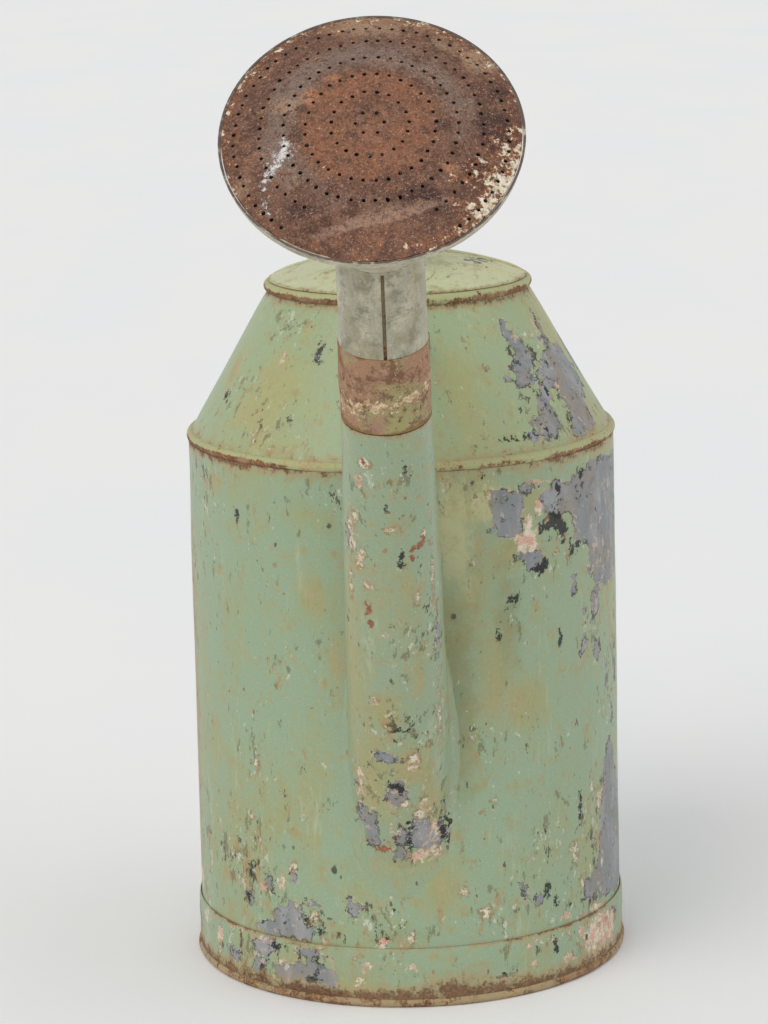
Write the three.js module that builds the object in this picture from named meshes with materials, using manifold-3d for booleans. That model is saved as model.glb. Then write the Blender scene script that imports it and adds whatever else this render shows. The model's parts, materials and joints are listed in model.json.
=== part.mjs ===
// A painted sheet-metal watering can with a steep spout, a push-on rose and a hoop handle.
// Millimetres, +Z up. The spout points along -Y. The origin is at the middle of the can's footprint box.
import * as THREE from "three";
import { mergeGeometries, mergeVertices } from "three/addons/utils/BufferGeometryUtils.js";
import Module from "manifold-3d";

const wasm = await Module();
wasm.setup();

// ---------------------------------------------------------------- driving dimensions

const SHEET = 0.8; // thickness of the body's sheet metal
const GAP = 0.3; // clearance between pieces that are soldered or rest on each other
const ROUND = 40; // facets round the can
const TUBE = 28; // facets round the spout
const BEAD = 6; // facets round a bead or a wire
const FAR = 2000; // longer than anything here, for half spaces

// body
const SHOULDER_RADIUS = 105; // outside of the body at the shoulder
const FOOT_RADIUS = 106; // outside of the body at the foot
const SHOULDER_HEIGHT = 264; // middle of the shoulder bead
const SHOULDER_BEAD = 2.6;
const SHOULDER_PROUD = 0.8; // how far that bead stands out of the wall
const FOOT_BEAD = 2.2;
const BAND_HEIGHT = 29.4; // top of the band round the foot
const BAND_SHEET = 1;
const BAND_LAP_DEGREES = [-32, -17]; // where the band's end laps, from the front
const BASE_LIFT = 12; // the base plate's height over the floor
const BASE_FLANGE = 7;
const SEAM_WIDTH = 9;
const SEAM_DEGREES = 160;

// shoulder, neck and hood
const NECK_RADIUS = 63.2; // middle of the neck bead
const NECK_RISE = 72.8; // from the shoulder bead up to the neck bead
const NECK_BEAD = 2.6;
const NECK_WIRE = 1.3;
const HOOD_RISE = 12;
const HOOD_REACH = 4; // how far the hood runs past the can's axis
const HOOD_WIRE = 2;
const HOOD_ARC_STEPS = 6;

// spout, measured along its own axis from where that axis leaves the body
const SPOUT_ELEVATION = 69;
const SPOUT_ROOT_HEIGHT = 137.4;
const SPOUT_ROOT_RADIUS = 24.3;
const SPOUT_TOP_RADIUS = 20.4;
const SPOUT_LENGTH = 177.2;
const SPOUT_INSIDE = 95; // how far the untrimmed tube runs into the body
const SADDLE_MARGIN = 4.3;
const SADDLE_SHEET = 0.9;
const TIP_LENGTH = 39.1; // from the spout tube's end to the shoulder that stops the rose
const TIP_INSERT = 15;
const TIP_NECK_LENGTH = 30;
const TIP_SHEET = 0.8;

// rose
const COLLAR_LENGTH = 50.6; // from the stop shoulder to where the collar and cone axes cross
const COLLAR_SHEET = 0.6;
const COLLAR_SLIT = 1.6;
const COLLAR_SLIT_DEGREES = 4.5;
const SLEEVE_LENGTH = 34;
const ROSE_ELEVATION = 43;
const ROSE_RADIUS = 64.4; // outside of the rim
const ROSE_DEPTH = 70.5; // from the crossing of the axes to the face's edge
const ROSE_SHEET = 0.7;
const ROSE_RIM_HEIGHT = 3.6;
const FACE_RISE = 14.5;
const HOLE_RADIUS = 0.75;
const HOLE_SIDES = 3;
const HOLE_RINGS = [
  { radius: 5.8, holes: 6, blankDegrees: 0 },
  { radius: 16.3, holes: 19, blankDegrees: 0 },
  { radius: 26.6, holes: 32, blankDegrees: 0 },
  { radius: 37.2, holes: 44, blankDegrees: 0 },
  { radius: 47.9, holes: 56, blankDegrees: 70 },
  { radius: 58.4, holes: 68, blankDegrees: 70 },
];

// stay between the neck and the spout
const CLIP_HEIGHT = 12;
const CLIP_SHEET = 1.2;
const CLIP_START = 8; // how far behind the spout's axis the clip's ends stand
const CLIP_BELOW_STOP = 3; // from the stop shoulder down to the clip's top
const STAY_WIDTH = 14;
const STAY_SHEET = 1.6;
const STAY_FOOT = 24;
const STAY_FOOT_BELOW_NECK = 9;

// handle
const HANDLE_RADIUS = 12.5;
const HANDLE_SHEET = 0.9;
const HANDLE_FACETS = 10;
const HANDLE_STEPS = 22;
const HANDLE_INSET = 23.2; // from the neck bead in to the middle of the front end
const HANDLE_ARCH = 85.5; // the top of the handle's middle line over the hood's crown
const HANDLE_BACK = 62; // how far the arch stands behind the body
const HANDLE_REAR_DROP = 59; // from the shoulder bead down to the rear end
const PLATE_SHEET = 1;
const PLATE_MARGIN = 8;

// ---------------------------------------------------------------- materials

const paint = new THREE.MeshStandardMaterial({ color: 0x92a47e, roughness: 0.55, metalness: 0.1 });
const rustyEdge = new THREE.MeshStandardMaterial({ color: 0x94724e, roughness: 0.8, metalness: 0.2 });
const rustyTip = new THREE.MeshStandardMaterial({ color: 0x97845b, roughness: 0.8, metalness: 0.2 });
const zinc = new THREE.MeshStandardMaterial({ color: 0x9a9783, roughness: 0.6, metalness: 0.6 });
const rust = new THREE.MeshStandardMaterial({ color: 0x7d5846, roughness: 0.85, metalness: 0.2 });

// ---------------------------------------------------------------- helpers

const radians = THREE.MathUtils.degToRad;

function piece(name, geometry, material, parent) {
  const mesh = new THREE.Mesh(geometry, material);
  mesh.name = name;
  parent.add(mesh);
  return mesh;
}

// A shape of revolution about Z from [radius, height] points that run anticlockwise.
function turned(points, facets = ROUND) {
  const profile = points.map(([r, z]) => new THREE.Vector2(r, z));
  return new THREE.LatheGeometry(profile, facets).rotateX(Math.PI / 2);
}

function closedLoop(points) {
  return [...points, points[0]];
}

// A conical pipe about Z between two heights, from its outer radii and its wall.
function pipe(z0, r0, z1, r1, wall, facets = ROUND) {
  return turned(closedLoop([[r0 - wall, z0], [r0, z0], [r1, z1], [r1 - wall, z1]]), facets);
}

// A solid cone or cylinder about Z.
function plug(z0, r0, z1, r1, facets = ROUND) {
  return turned([[0, z0], [r0, z0], [r1, z1], [0, z1]], facets);
}

// Points of a bead's section: a polygon whose sides touch a circle, with one side flat below.
function beadSection(r, z, radius, sides = BEAD) {
  const corner = radius / Math.cos(Math.PI / sides);
  return Array.from({ length: sides }, (_, i) => {
    const angle = -Math.PI / 2 + ((i + 0.5) * 2 * Math.PI) / sides;
    return [r + corner * Math.cos(angle), z + corner * Math.sin(angle)];
  });
}

// A mesh's shape as a manifold solid, in the coordinates that another object's children have.
function solidIn(frame, mesh) {
  frame.updateWorldMatrix(true, false);
  mesh.updateWorldMatrix(true, false);
  const bare = new THREE.BufferGeometry().setAttribute("position", mesh.geometry.getAttribute("position").clone());
  if (mesh.geometry.index) bare.setIndex(mesh.geometry.index.clone());
  bare.applyMatrix4(frame.matrixWorld.clone().invert().multiply(mesh.matrixWorld));
  const merged = mergeVertices(bare, 1e-3);
  return new wasm.Manifold(new wasm.Mesh({
    numProp: 3,
    vertProperties: merged.attributes.position.array,
    triVerts: new Uint32Array(merged.index.array),
  }));
}

function geometryOf(solid) {
  const { numProp, numVert, vertProperties, triVerts } = solid.getMesh();
  const position = new Float32Array(numVert * 3);
  for (let i = 0; i < numVert; i++) {
    position.set(vertProperties.subarray(i * numProp, i * numProp + 3), i * 3);
  }
  const geometry = new THREE.BufferGeometry();
  geometry.setAttribute("position", new THREE.BufferAttribute(position, 3));
  geometry.setIndex(new THREE.BufferAttribute(triVerts, 1));
  geometry.computeVertexNormals();
  return geometry;
}

// A tool for cutting: a mesh that stands in a group's frame but is never shown.
function tool(geometry, frame, move = () => {}) {
  const mesh = new THREE.Mesh(geometry);
  mesh.visible = false;
  move(mesh);
  frame.add(mesh);
  return mesh;
}

// Reshapes a mesh by one operation after another, such as ["subtract", tool].
function shape(mesh, ...operations) {
  let solid = solidIn(mesh, mesh);
  for (const [operation, other] of operations) {
    solid = solid[operation](solidIn(mesh, other));
    if (other.visible === false) other.removeFromParent();
  }
  mesh.geometry = geometryOf(solid);
  return mesh;
}

// A block that covers the wedge between two directions round Z, in degrees from -Y.
function wedge(fromDegrees, toDegrees, z0, z1) {
  const ends = [fromDegrees, toDegrees].map((d) => radians(d - 90));
  const outline = new THREE.Shape([
    new THREE.Vector2(0, 0),
    ...ends.map((a) => new THREE.Vector2(FAR * Math.cos(a), FAR * Math.sin(a))),
  ]);
  return new THREE.ExtrudeGeometry(outline, { depth: z1 - z0, bevelEnabled: false }).translate(0, 0, z0);
}

// ---------------------------------------------------------------- the can's own curves

const footTop = 2 * FOOT_BEAD + GAP;
const shoulderBottom = SHOULDER_HEIGHT - SHOULDER_BEAD - GAP;

function bodyRadiusAt(z) {
  const t = (z - footTop) / (shoulderBottom - footTop);
  return FOOT_RADIUS + (SHOULDER_RADIUS - FOOT_RADIUS) * t;
}

// The body's outside, moved out by an offset, as a plug.
function bodyPlug(offset, z0 = footTop, z1 = shoulderBottom) {
  return plug(z0, bodyRadiusAt(z0) + offset, z1, bodyRadiusAt(z1) + offset);
}

const neckHeight = SHOULDER_HEIGHT + NECK_RISE;
const coneFoot = { r: SHOULDER_RADIUS - SHOULDER_BEAD + GAP, z: SHOULDER_HEIGHT + SHOULDER_BEAD + GAP };
const coneTop = { r: NECK_RADIUS + 1, z: neckHeight - NECK_BEAD - GAP };

function coneHeightAt(r) {
  return coneFoot.z + ((coneTop.z - coneFoot.z) * (coneFoot.r - r)) / (coneFoot.r - coneTop.r);
}

const hoodRadius = NECK_RADIUS;
const hoodFoot = neckHeight + NECK_BEAD + GAP + SHEET;
const handleTop = hoodFoot + HOOD_RISE + HANDLE_ARCH;
const handleFront = NECK_RADIUS - HANDLE_INSET;
const handleRearHeight = SHOULDER_HEIGHT - HANDLE_REAR_DROP;
const hoodSphere = (hoodRadius ** 2 + HOOD_RISE ** 2) / (2 * HOOD_RISE);

// Height of the hood's outside at a distance from the can's axis, moved out by an offset.
function hoodHeightAt(r, offset = 0) {
  return hoodFoot - hoodSphere + HOOD_RISE + Math.sqrt((hoodSphere + offset) ** 2 - r ** 2);
}

function hoodArc(offset) {
  const reach = Math.asin(hoodRadius / hoodSphere);
  return Array.from({ length: HOOD_ARC_STEPS + 1 }, (_, i) => {
    const angle = reach * (1 - i / HOOD_ARC_STEPS);
    const r = (hoodSphere + offset) * Math.sin(angle);
    return [r, hoodFoot - hoodSphere + HOOD_RISE + (hoodSphere + offset) * Math.cos(angle)];
  });
}

// ---------------------------------------------------------------- frames

const can = new THREE.Group();
const spout = new THREE.Group(); // +Z runs up the spout
spout.position.set(0, -bodyRadiusAt(SPOUT_ROOT_HEIGHT), SPOUT_ROOT_HEIGHT);
spout.rotation.x = radians(90 - SPOUT_ELEVATION);
can.add(spout);

const stopHeight = SPOUT_LENGTH + TIP_LENGTH;
const head = new THREE.Group(); // +Z runs out of the rose's face
head.position.z = stopHeight + COLLAR_LENGTH;
head.rotation.x = radians(SPOUT_ELEVATION - ROSE_ELEVATION);
spout.add(head);

// ---------------------------------------------------------------- body

const insertRadius = SPOUT_TOP_RADIUS - SHEET - 2 * GAP;
const neckedRadius = insertRadius - 2 * COLLAR_SHEET + 0.2;
const sleeveRadius = neckedRadius + GAP + COLLAR_SHEET;
const collarRadius = sleeveRadius + GAP + COLLAR_SHEET;

function spoutRadiusAt(s) {
  return SPOUT_ROOT_RADIUS + ((SPOUT_TOP_RADIUS - SPOUT_ROOT_RADIUS) * s) / SPOUT_LENGTH;
}

function spoutPlug(offset) {
  return plug(-SPOUT_INSIDE, spoutRadiusAt(-SPOUT_INSIDE) + offset, SPOUT_LENGTH, SPOUT_TOP_RADIUS + offset, TUBE);
}

function makeBody() {
  const shell = piece("body_shell", pipe(footTop, FOOT_RADIUS, shoulderBottom, SHOULDER_RADIUS, SHEET), paint, can);
  const seamFoot = BAND_HEIGHT + GAP;
  const seamHalf = THREE.MathUtils.radToDeg(SEAM_WIDTH / 2 / SHOULDER_RADIUS);
  const seam = tool(
    pipe(seamFoot, bodyRadiusAt(seamFoot) + SHEET, shoulderBottom, SHOULDER_RADIUS + SHEET, 1.5 * SHEET),
    can,
  );
  shape(seam, ["intersect", tool(wedge(SEAM_DEGREES - seamHalf, SEAM_DEGREES + seamHalf, 0, FAR), can)]);
  shape(shell, ["add", seam], ["subtract", tool(spoutPlug(-SHEET), spout)]);

  const plateRadius = FOOT_RADIUS - SHEET - GAP;
  const plateTop = BASE_LIFT + SHEET;
  const flangeFoot = BASE_LIFT - BASE_FLANGE;
  piece("base_plate", turned([
    [0, BASE_LIFT],
    [plateRadius - SHEET, BASE_LIFT],
    [plateRadius - SHEET, flangeFoot],
    [plateRadius, flangeFoot],
    [plateRadius, plateTop],
    [0, plateTop],
  ]), zinc, can);

  const bandRadius = FOOT_RADIUS + GAP + BAND_SHEET;
  const band = piece("base_band", pipe(footTop, bandRadius, BAND_HEIGHT, bandRadius, BAND_SHEET), paint, can);
  const lap = tool(pipe(footTop, bandRadius + SHEET, BAND_HEIGHT, bandRadius + SHEET, 1.5 * SHEET), can);
  shape(lap, ["intersect", tool(wedge(...BAND_LAP_DEGREES, 0, FAR), can)]);
  shape(band, ["add", lap]);

  piece("base_bead", turned(closedLoop(beadSection(FOOT_RADIUS, FOOT_BEAD, FOOT_BEAD))), rustyEdge, can);
}

// ---------------------------------------------------------------- shoulder, neck and hood

// The neck's edge, rolled round its wire and open on the inside below.
function rolledSection() {
  const openSide = 4; // the side of the section that is left open
  const outer = beadSection(NECK_RADIUS, neckHeight, NECK_BEAD);
  const inner = beadSection(NECK_RADIUS, neckHeight, NECK_WIRE + GAP);
  const order = Array.from({ length: BEAD }, (_, i) => (openSide + 1 + i) % BEAD);
  return [...order.map((i) => outer[i]), ...order.reverse().map((i) => inner[i])];
}

function makeTop() {
  const shoulder = beadSection(SHOULDER_RADIUS + SHOULDER_PROUD - SHOULDER_BEAD, SHOULDER_HEIGHT, SHOULDER_BEAD);
  piece("shoulder_bead", turned(closedLoop(shoulder)), rustyEdge, can);
  piece("shoulder_cone", pipe(coneFoot.z, coneFoot.r, coneTop.z, coneTop.r, SHEET), paint, can);
  piece("neck_bead", turned(closedLoop(rolledSection())), rustyEdge, can);
  piece("neck_wire", turned(closedLoop(beadSection(NECK_RADIUS, neckHeight, NECK_WIRE, 6))), zinc, can);

  const cap = turned([...hoodArc(-SHEET).reverse().slice(0, -1), ...bottomOfHood(), ...hoodArc(0).slice(1)]);
  const hood = piece("hood", cap, paint, can);
  const front = new THREE.BoxGeometry(FAR, FAR, FAR).translate(0, HOOD_REACH - FAR / 2, 0);
  shape(hood, ["intersect", tool(front, can)]);
  makeHoodWire();
}

function bottomOfHood() {
  const [innerRadius, innerHeight] = hoodArc(-SHEET)[0];
  return [[innerRadius, innerHeight], [hoodRadius, hoodFoot]];
}

function makeHoodWire() {
  const y = HOOD_REACH + GAP + HOOD_WIRE;
  const half = hoodRadius - HOOD_WIRE;
  const foot = hoodFoot + HOOD_WIRE + GAP;
  const crown = hoodHeightAt(y) - SHEET / 2;
  const lift = (x) => Math.sqrt(hoodSphere ** 2 - x ** 2);
  const rise = (crown - foot) / (hoodSphere - lift(half));
  const steps = 14;
  const points = Array.from({ length: steps + 1 }, (_, i) => {
    const x = -half + (2 * half * i) / steps;
    return new THREE.Vector3(x, y, foot + (lift(x) - lift(half)) * rise);
  });
  const round = new THREE.Shape(polygon(HOOD_WIRE, BEAD));
  const wire = new THREE.ExtrudeGeometry(round, { steps, extrudePath: new THREE.CatmullRomCurve3(points) });
  piece("hood_wire", wire, rustyEdge, can);
}

function polygon(radius, sides, turn = 0.5) {
  return Array.from({ length: sides }, (_, i) => {
    const angle = ((i + turn) * 2 * Math.PI) / sides;
    return new THREE.Vector2(radius * Math.cos(angle), radius * Math.sin(angle));
  });
}

// ---------------------------------------------------------------- spout

function makeSpout() {
  const tube = piece(
    "spout_tube",
    pipe(-SPOUT_INSIDE, spoutRadiusAt(-SPOUT_INSIDE), SPOUT_LENGTH, SPOUT_TOP_RADIUS, SHEET, TUBE),
    paint,
    spout,
  );
  shape(tube, ["subtract", tool(bodyPlug(GAP), can)], ["intersect", tool(frontSpace(), can)]);

  const saddle = piece("spout_saddle", bodyPlug(GAP + SADDLE_SHEET), paint, can);
  shape(
    saddle,
    ["subtract", tool(bodyPlug(GAP, 0, FAR), can)],
    ["intersect", tool(frontSpace(), can)],
    ["intersect", tool(spoutPlug(SADDLE_MARGIN), spout)],
    ["subtract", tool(spoutPlug(GAP), spout)],
  );

  const tipFoot = SPOUT_LENGTH - TIP_INSERT;
  const tipTop = stopHeight + TIP_NECK_LENGTH;
  piece("spout_tip", turned(closedLoop([
    [insertRadius - TIP_SHEET, tipFoot],
    [insertRadius, tipFoot],
    [insertRadius, SPOUT_LENGTH + GAP],
    [SPOUT_TOP_RADIUS, SPOUT_LENGTH + GAP],
    [SPOUT_TOP_RADIUS, stopHeight - GAP],
    [neckedRadius, stopHeight - GAP],
    [neckedRadius, tipTop],
    [neckedRadius - TIP_SHEET, tipTop],
    [neckedRadius - TIP_SHEET, stopHeight - GAP - TIP_SHEET],
    [SPOUT_TOP_RADIUS - TIP_SHEET, stopHeight - GAP - TIP_SHEET],
    [SPOUT_TOP_RADIUS - TIP_SHEET, SPOUT_LENGTH + GAP + TIP_SHEET],
    [insertRadius - TIP_SHEET, SPOUT_LENGTH + GAP + TIP_SHEET],
  ]), TUBE), rustyTip, spout);
}

// Everything in front of the can's axis.
function frontSpace() {
  return new THREE.BoxGeometry(FAR, FAR, FAR).translate(0, -FAR / 2, 0);
}

// ---------------------------------------------------------------- stay

function makeStay() {
  const clipTop = stopHeight - CLIP_BELOW_STOP;
  const clipRadius = SPOUT_TOP_RADIUS + GAP + CLIP_SHEET;
  const clip = piece(
    "stay_clip",
    pipe(clipTop - CLIP_HEIGHT, clipRadius, clipTop, clipRadius, CLIP_SHEET, TUBE),
    rustyTip,
    spout,
  );
  const behind = new THREE.BoxGeometry(FAR, FAR, FAR).translate(0, FAR / 2 + CLIP_START, 0);
  shape(clip, ["intersect", tool(behind, spout)]);

  // The strap's middle line in the can's plane, as distances in front of the axis and heights.
  can.updateMatrixWorld(true);
  const clipBack = clipRadius + GAP;
  const atClip = spout.localToWorld(new THREE.Vector3(0, clipBack, clipTop - CLIP_HEIGHT / 2));
  const bendShare = STAY_FOOT_BELOW_NECK / (coneTop.z - coneFoot.z);
  const bendRadius = coneTop.r + bendShare * (coneFoot.r - coneTop.r);
  const slope = new THREE.Vector2(coneFoot.r - coneTop.r, coneFoot.z - coneTop.z).normalize();
  const outward = new THREE.Vector2(-slope.y, slope.x);
  const bend = new THREE.Vector2(bendRadius, coneHeightAt(bendRadius)).addScaledVector(outward, GAP);
  const toe = bend.clone().addScaledVector(slope, STAY_FOOT);
  const end = new THREE.Vector2(-atClip.y, atClip.z);
  const outline = new THREE.Shape([
    bend,
    toe,
    toe.clone().addScaledVector(outward, STAY_SHEET),
    bend.clone().addScaledVector(outward, STAY_SHEET).addScaledVector(slope, STAY_SHEET),
    end.clone().add(new THREE.Vector2(0, -STAY_SHEET / 2)),
    end.clone().add(new THREE.Vector2(0, STAY_SHEET / 2)),
    bend.clone().add(new THREE.Vector2(STAY_SHEET / 2, STAY_SHEET)),
  ]);
  // The outline's x runs forward and its y up; the strap is centred on the can's plane.
  const strap = new THREE.ExtrudeGeometry(outline, { depth: STAY_WIDTH, bevelEnabled: false });
  strap.translate(0, 0, -STAY_WIDTH / 2).applyMatrix4(new THREE.Matrix4().makeBasis(
    new THREE.Vector3(0, -1, 0),
    new THREE.Vector3(0, 0, 1),
    new THREE.Vector3(-1, 0, 0),
  ));
  const stay = piece("spout_stay", strap, paint, can);
  const clear = plug(0, clipBack, stopHeight, clipBack, TUBE);
  shape(stay, ["subtract", tool(clear, spout)]);
}

// ---------------------------------------------------------------- rose

const coneRim = ROSE_RADIUS - 2 * COLLAR_SHEET - GAP;

// The rose's cone about the head's axis, moved out by an offset, out to its rim.
function rosePlug(offset) {
  const slope = (coneRim - collarRadius) / ROSE_DEPTH;
  const tail = -(collarRadius - 2) / slope;
  return plug(tail, 2 + offset, ROSE_DEPTH, coneRim + offset);
}

function makeRose() {
  piece(
    "rose_sleeve",
    pipe(stopHeight, sleeveRadius, stopHeight + SLEEVE_LENGTH, sleeveRadius, COLLAR_SHEET, TUBE),
    rust,
    spout,
  );

  const reach = 30; // how far past the crossing of the axes the untrimmed collar runs
  const collar = piece(
    "rose_collar",
    pipe(stopHeight, collarRadius, stopHeight + COLLAR_LENGTH + reach, collarRadius, COLLAR_SHEET, TUBE),
    zinc,
    spout,
  );
  const slit = new THREE.BoxGeometry(COLLAR_SLIT, collarRadius * 2, 2 * COLLAR_LENGTH)
    .translate(0, -collarRadius, stopHeight)
    .rotateZ(radians(COLLAR_SLIT_DEGREES));
  shape(collar, ["subtract", tool(slit, spout)], ["subtract", tool(rosePlug(GAP), head)]);

  const cone = piece("rose_cone", rosePlug(0), zinc, head);
  const bore = plug(stopHeight, collarRadius + GAP, stopHeight + COLLAR_LENGTH + reach, collarRadius + GAP, TUBE);
  shape(cone, ["subtract", tool(rosePlug(-ROSE_SHEET).translate(0, 0, 0.01), head)], ["subtract", tool(bore, spout)]);

  piece(
    "rose_rim",
    pipe(ROSE_DEPTH - ROSE_RIM_HEIGHT, ROSE_RADIUS, ROSE_DEPTH + GAP + ROSE_SHEET, ROSE_RADIUS, 2 * COLLAR_SHEET),
    rustyEdge,
    head,
  );
  makeFace();
}

// Height of the face's outside over its own edge.
function faceHeightAt(r) {
  return FACE_RISE * (1 - (r / (ROSE_RADIUS - 2 * COLLAR_SHEET - GAP)) ** 2);
}

// The perforated face: a domed sheet with a square punch driven through it at each hole.
function makeFace() {
  const edge = ROSE_RADIUS - 2 * COLLAR_SHEET - GAP;
  const foot = ROSE_DEPTH + GAP;
  const between = HOLE_RINGS.slice(1).map((ring, i) => (ring.radius + HOLE_RINGS[i].radius) / 2);
  const stops = [...between, edge];
  const under = stops.map((r) => [r, foot + faceHeightAt(r)]);
  const over = stops.map((r) => [r, foot + faceHeightAt(r) + ROSE_SHEET]).reverse();
  const crown = foot + FACE_RISE;
  const sheet = turned([[0, crown], ...under, ...over, [0, crown + ROSE_SHEET]]);
  const face = piece("rose_face", sheet, rust, head);

  const punches = [];
  for (const ring of HOLE_RINGS) {
    for (let i = 0; i < ring.holes; i++) {
      const angle = ((i + 0.5) * 2 * Math.PI) / ring.holes;
      if (Math.abs(Math.PI - angle) < radians(ring.blankDegrees / 2)) continue;
      const punch = new THREE.CylinderGeometry(HOLE_RADIUS, HOLE_RADIUS, 6, HOLE_SIDES).rotateX(Math.PI / 2);
      punch.translate(0, ring.radius, foot + faceHeightAt(ring.radius)).rotateZ(-angle);
      punches.push(punch);
    }
  }
  shape(face, ["subtract", tool(mergeGeometries(punches), head)]);
}

// ---------------------------------------------------------------- handle

function handlePath() {
  const front = hoodHeightAt(handleFront);
  const back = bodyRadiusAt(handleRearHeight);
  const rise = handleTop - front;
  const drop = handleTop - handleRearHeight;
  const at = (y, z) => new THREE.Vector3(0, y, z);
  return new THREE.CatmullRomCurve3([
    at(-handleFront + 2, front - 8),
    at(-handleFront, front + 0.3 * rise),
    at(-0.55 * handleFront, front + 0.8 * rise),
    at(0.3 * back, handleTop),
    at(back - 0.1 * HANDLE_BACK, handleTop - 0.16 * drop),
    at(back + 0.84 * HANDLE_BACK, handleTop - 0.42 * drop),
    at(back + 0.8 * HANDLE_BACK, handleTop - 0.72 * drop),
    at(back + 0.3 * HANDLE_BACK, handleRearHeight + 0.06 * drop),
    at(back - 0.3 * HANDLE_BACK, handleRearHeight - 0.06 * drop),
  ], false, "centripetal");
}

function along(radius, hollow, path, steps) {
  const section = new THREE.Shape(polygon(radius, HANDLE_FACETS));
  if (hollow) section.holes.push(new THREE.Path(polygon(radius - HANDLE_SHEET, HANDLE_FACETS).reverse()));
  return new THREE.ExtrudeGeometry(section, { steps, extrudePath: path });
}

function makeHandle() {
  const path = handlePath();
  const lift = PLATE_SHEET + 2 * GAP;
  const tube = piece("handle_tube", along(HANDLE_RADIUS, true, path, HANDLE_STEPS), paint, can);
  shape(tube, ["subtract", tool(hoodPlug(lift), can)], ["subtract", tool(bodyPlug(lift), can)]);

  const wide = HANDLE_RADIUS + PLATE_MARGIN;
  const frontPlate = piece("handle_front_plate", hoodPlug(GAP + PLATE_SHEET), paint, can);
  const upright = plug(0, wide, FAR, wide, 24).translate(0, -handleFront + 1, 0);
  shape(frontPlate, ["subtract", tool(hoodPlug(GAP), can)], ["intersect", tool(upright, can)]);

  const rearPlate = piece("handle_rear_plate", bodyPlug(GAP + PLATE_SHEET), paint, can);
  const level = plug(0, wide, FAR, wide, 24).rotateX(-Math.PI / 2).translate(0, 0, handleRearHeight);
  shape(rearPlate, ["subtract", tool(bodyPlug(GAP, 0, FAR), can)], ["intersect", tool(level, can)]);
}

// The space under the hood's outside, moved out by an offset.
function hoodPlug(offset) {
  const arc = hoodArc(offset);
  return turned([[0, hoodFoot - NECK_BEAD], [arc[0][0], hoodFoot - NECK_BEAD], ...arc]);
}

// ---------------------------------------------------------------- assembly

makeBody();
makeTop();
makeSpout();
makeStay();
makeRose();
makeHandle();

const footprint = new THREE.Box3().setFromObject(can, true);
const middle = footprint.getCenter(new THREE.Vector3());
can.position.set(-middle.x, -middle.y, -footprint.min.z);

const watering = new THREE.Group();
watering.add(can);

export default watering;
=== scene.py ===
import json
import math
import random

import bmesh
import bpy
import numpy as np
from mathutils import Matrix, Vector, geometry, noise


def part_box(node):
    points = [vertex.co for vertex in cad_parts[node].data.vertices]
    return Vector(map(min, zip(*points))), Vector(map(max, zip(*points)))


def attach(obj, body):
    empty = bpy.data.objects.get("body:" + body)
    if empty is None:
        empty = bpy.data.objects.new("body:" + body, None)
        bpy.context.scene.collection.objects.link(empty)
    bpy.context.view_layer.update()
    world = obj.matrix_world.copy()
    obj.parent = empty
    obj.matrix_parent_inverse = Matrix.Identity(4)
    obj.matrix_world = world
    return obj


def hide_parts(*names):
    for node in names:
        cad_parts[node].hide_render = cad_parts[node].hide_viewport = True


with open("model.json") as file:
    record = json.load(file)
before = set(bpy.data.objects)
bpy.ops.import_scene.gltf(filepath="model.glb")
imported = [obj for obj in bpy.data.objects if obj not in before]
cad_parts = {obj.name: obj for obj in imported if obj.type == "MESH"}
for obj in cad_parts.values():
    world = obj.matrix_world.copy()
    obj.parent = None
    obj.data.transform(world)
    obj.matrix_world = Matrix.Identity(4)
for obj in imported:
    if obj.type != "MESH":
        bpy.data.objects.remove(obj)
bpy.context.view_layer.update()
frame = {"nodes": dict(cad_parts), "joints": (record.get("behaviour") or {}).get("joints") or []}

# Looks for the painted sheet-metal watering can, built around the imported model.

MM = 0.001

# ------------------------------------------------------------------ places, from the frame

joints = {j["name"]: j for j in frame["joints"]}
SPOUT_DIR = np.array(joints["rose_turn"]["axis"], float)
CROSS = np.array(joints["rose_turn"]["pos_m"], float)  # where the collar's and the head's axes cross

wall_low, wall_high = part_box("body_shell")
AXIS_Y = (wall_low.y + wall_high.y) / 2
FOOT_R = (wall_high.x - wall_low.x) / 2
WALL_FOOT, WALL_TOP = wall_low.z, wall_high.z
TOP_R = FOOT_R - 1 * MM
SHEET = 0.8 * MM
GAP = 0.3 * MM
WALL_COLUMNS = 384
# Degrees round the can from the front: the wall's seam, and where the band's end laps.
SEAM_AT, SEAM_HALF = 160, 2.3
LAP_START, LAP_END = -34, -17

band_low, band_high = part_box("base_band")
BAND_R = (band_high.x - band_low.x) / 2
bead_low, bead_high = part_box("base_bead")
FOOT_BEAD_R = (bead_high.z - bead_low.z) / 2
plate_low, plate_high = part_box("base_plate")
shoulder_low, shoulder_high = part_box("shoulder_bead")
SHOULDER_Z = (shoulder_low.z + shoulder_high.z) / 2
SHOULDER_BEAD_R = (shoulder_high.z - shoulder_low.z) / 2
cone_low, cone_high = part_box("shoulder_cone")
neck_low, neck_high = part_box("neck_bead")
NECK_Z = (neck_low.z + neck_high.z) / 2
NECK_BEAD_R = (neck_high.z - neck_low.z) / 2
NECK_R = 63.2 * MM
NECK_WIRE_R = 1.3 * MM
CONE_TOP_R = NECK_R + 1 * MM
hood_low, hood_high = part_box("hood")
HOOD_R = (hood_high.x - hood_low.x) / 2
HOOD_FOOT = NECK_Z + NECK_BEAD_R + GAP + SHEET
HOOD_TOP = hood_high.z
HOOD_BACK = hood_high.y

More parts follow.
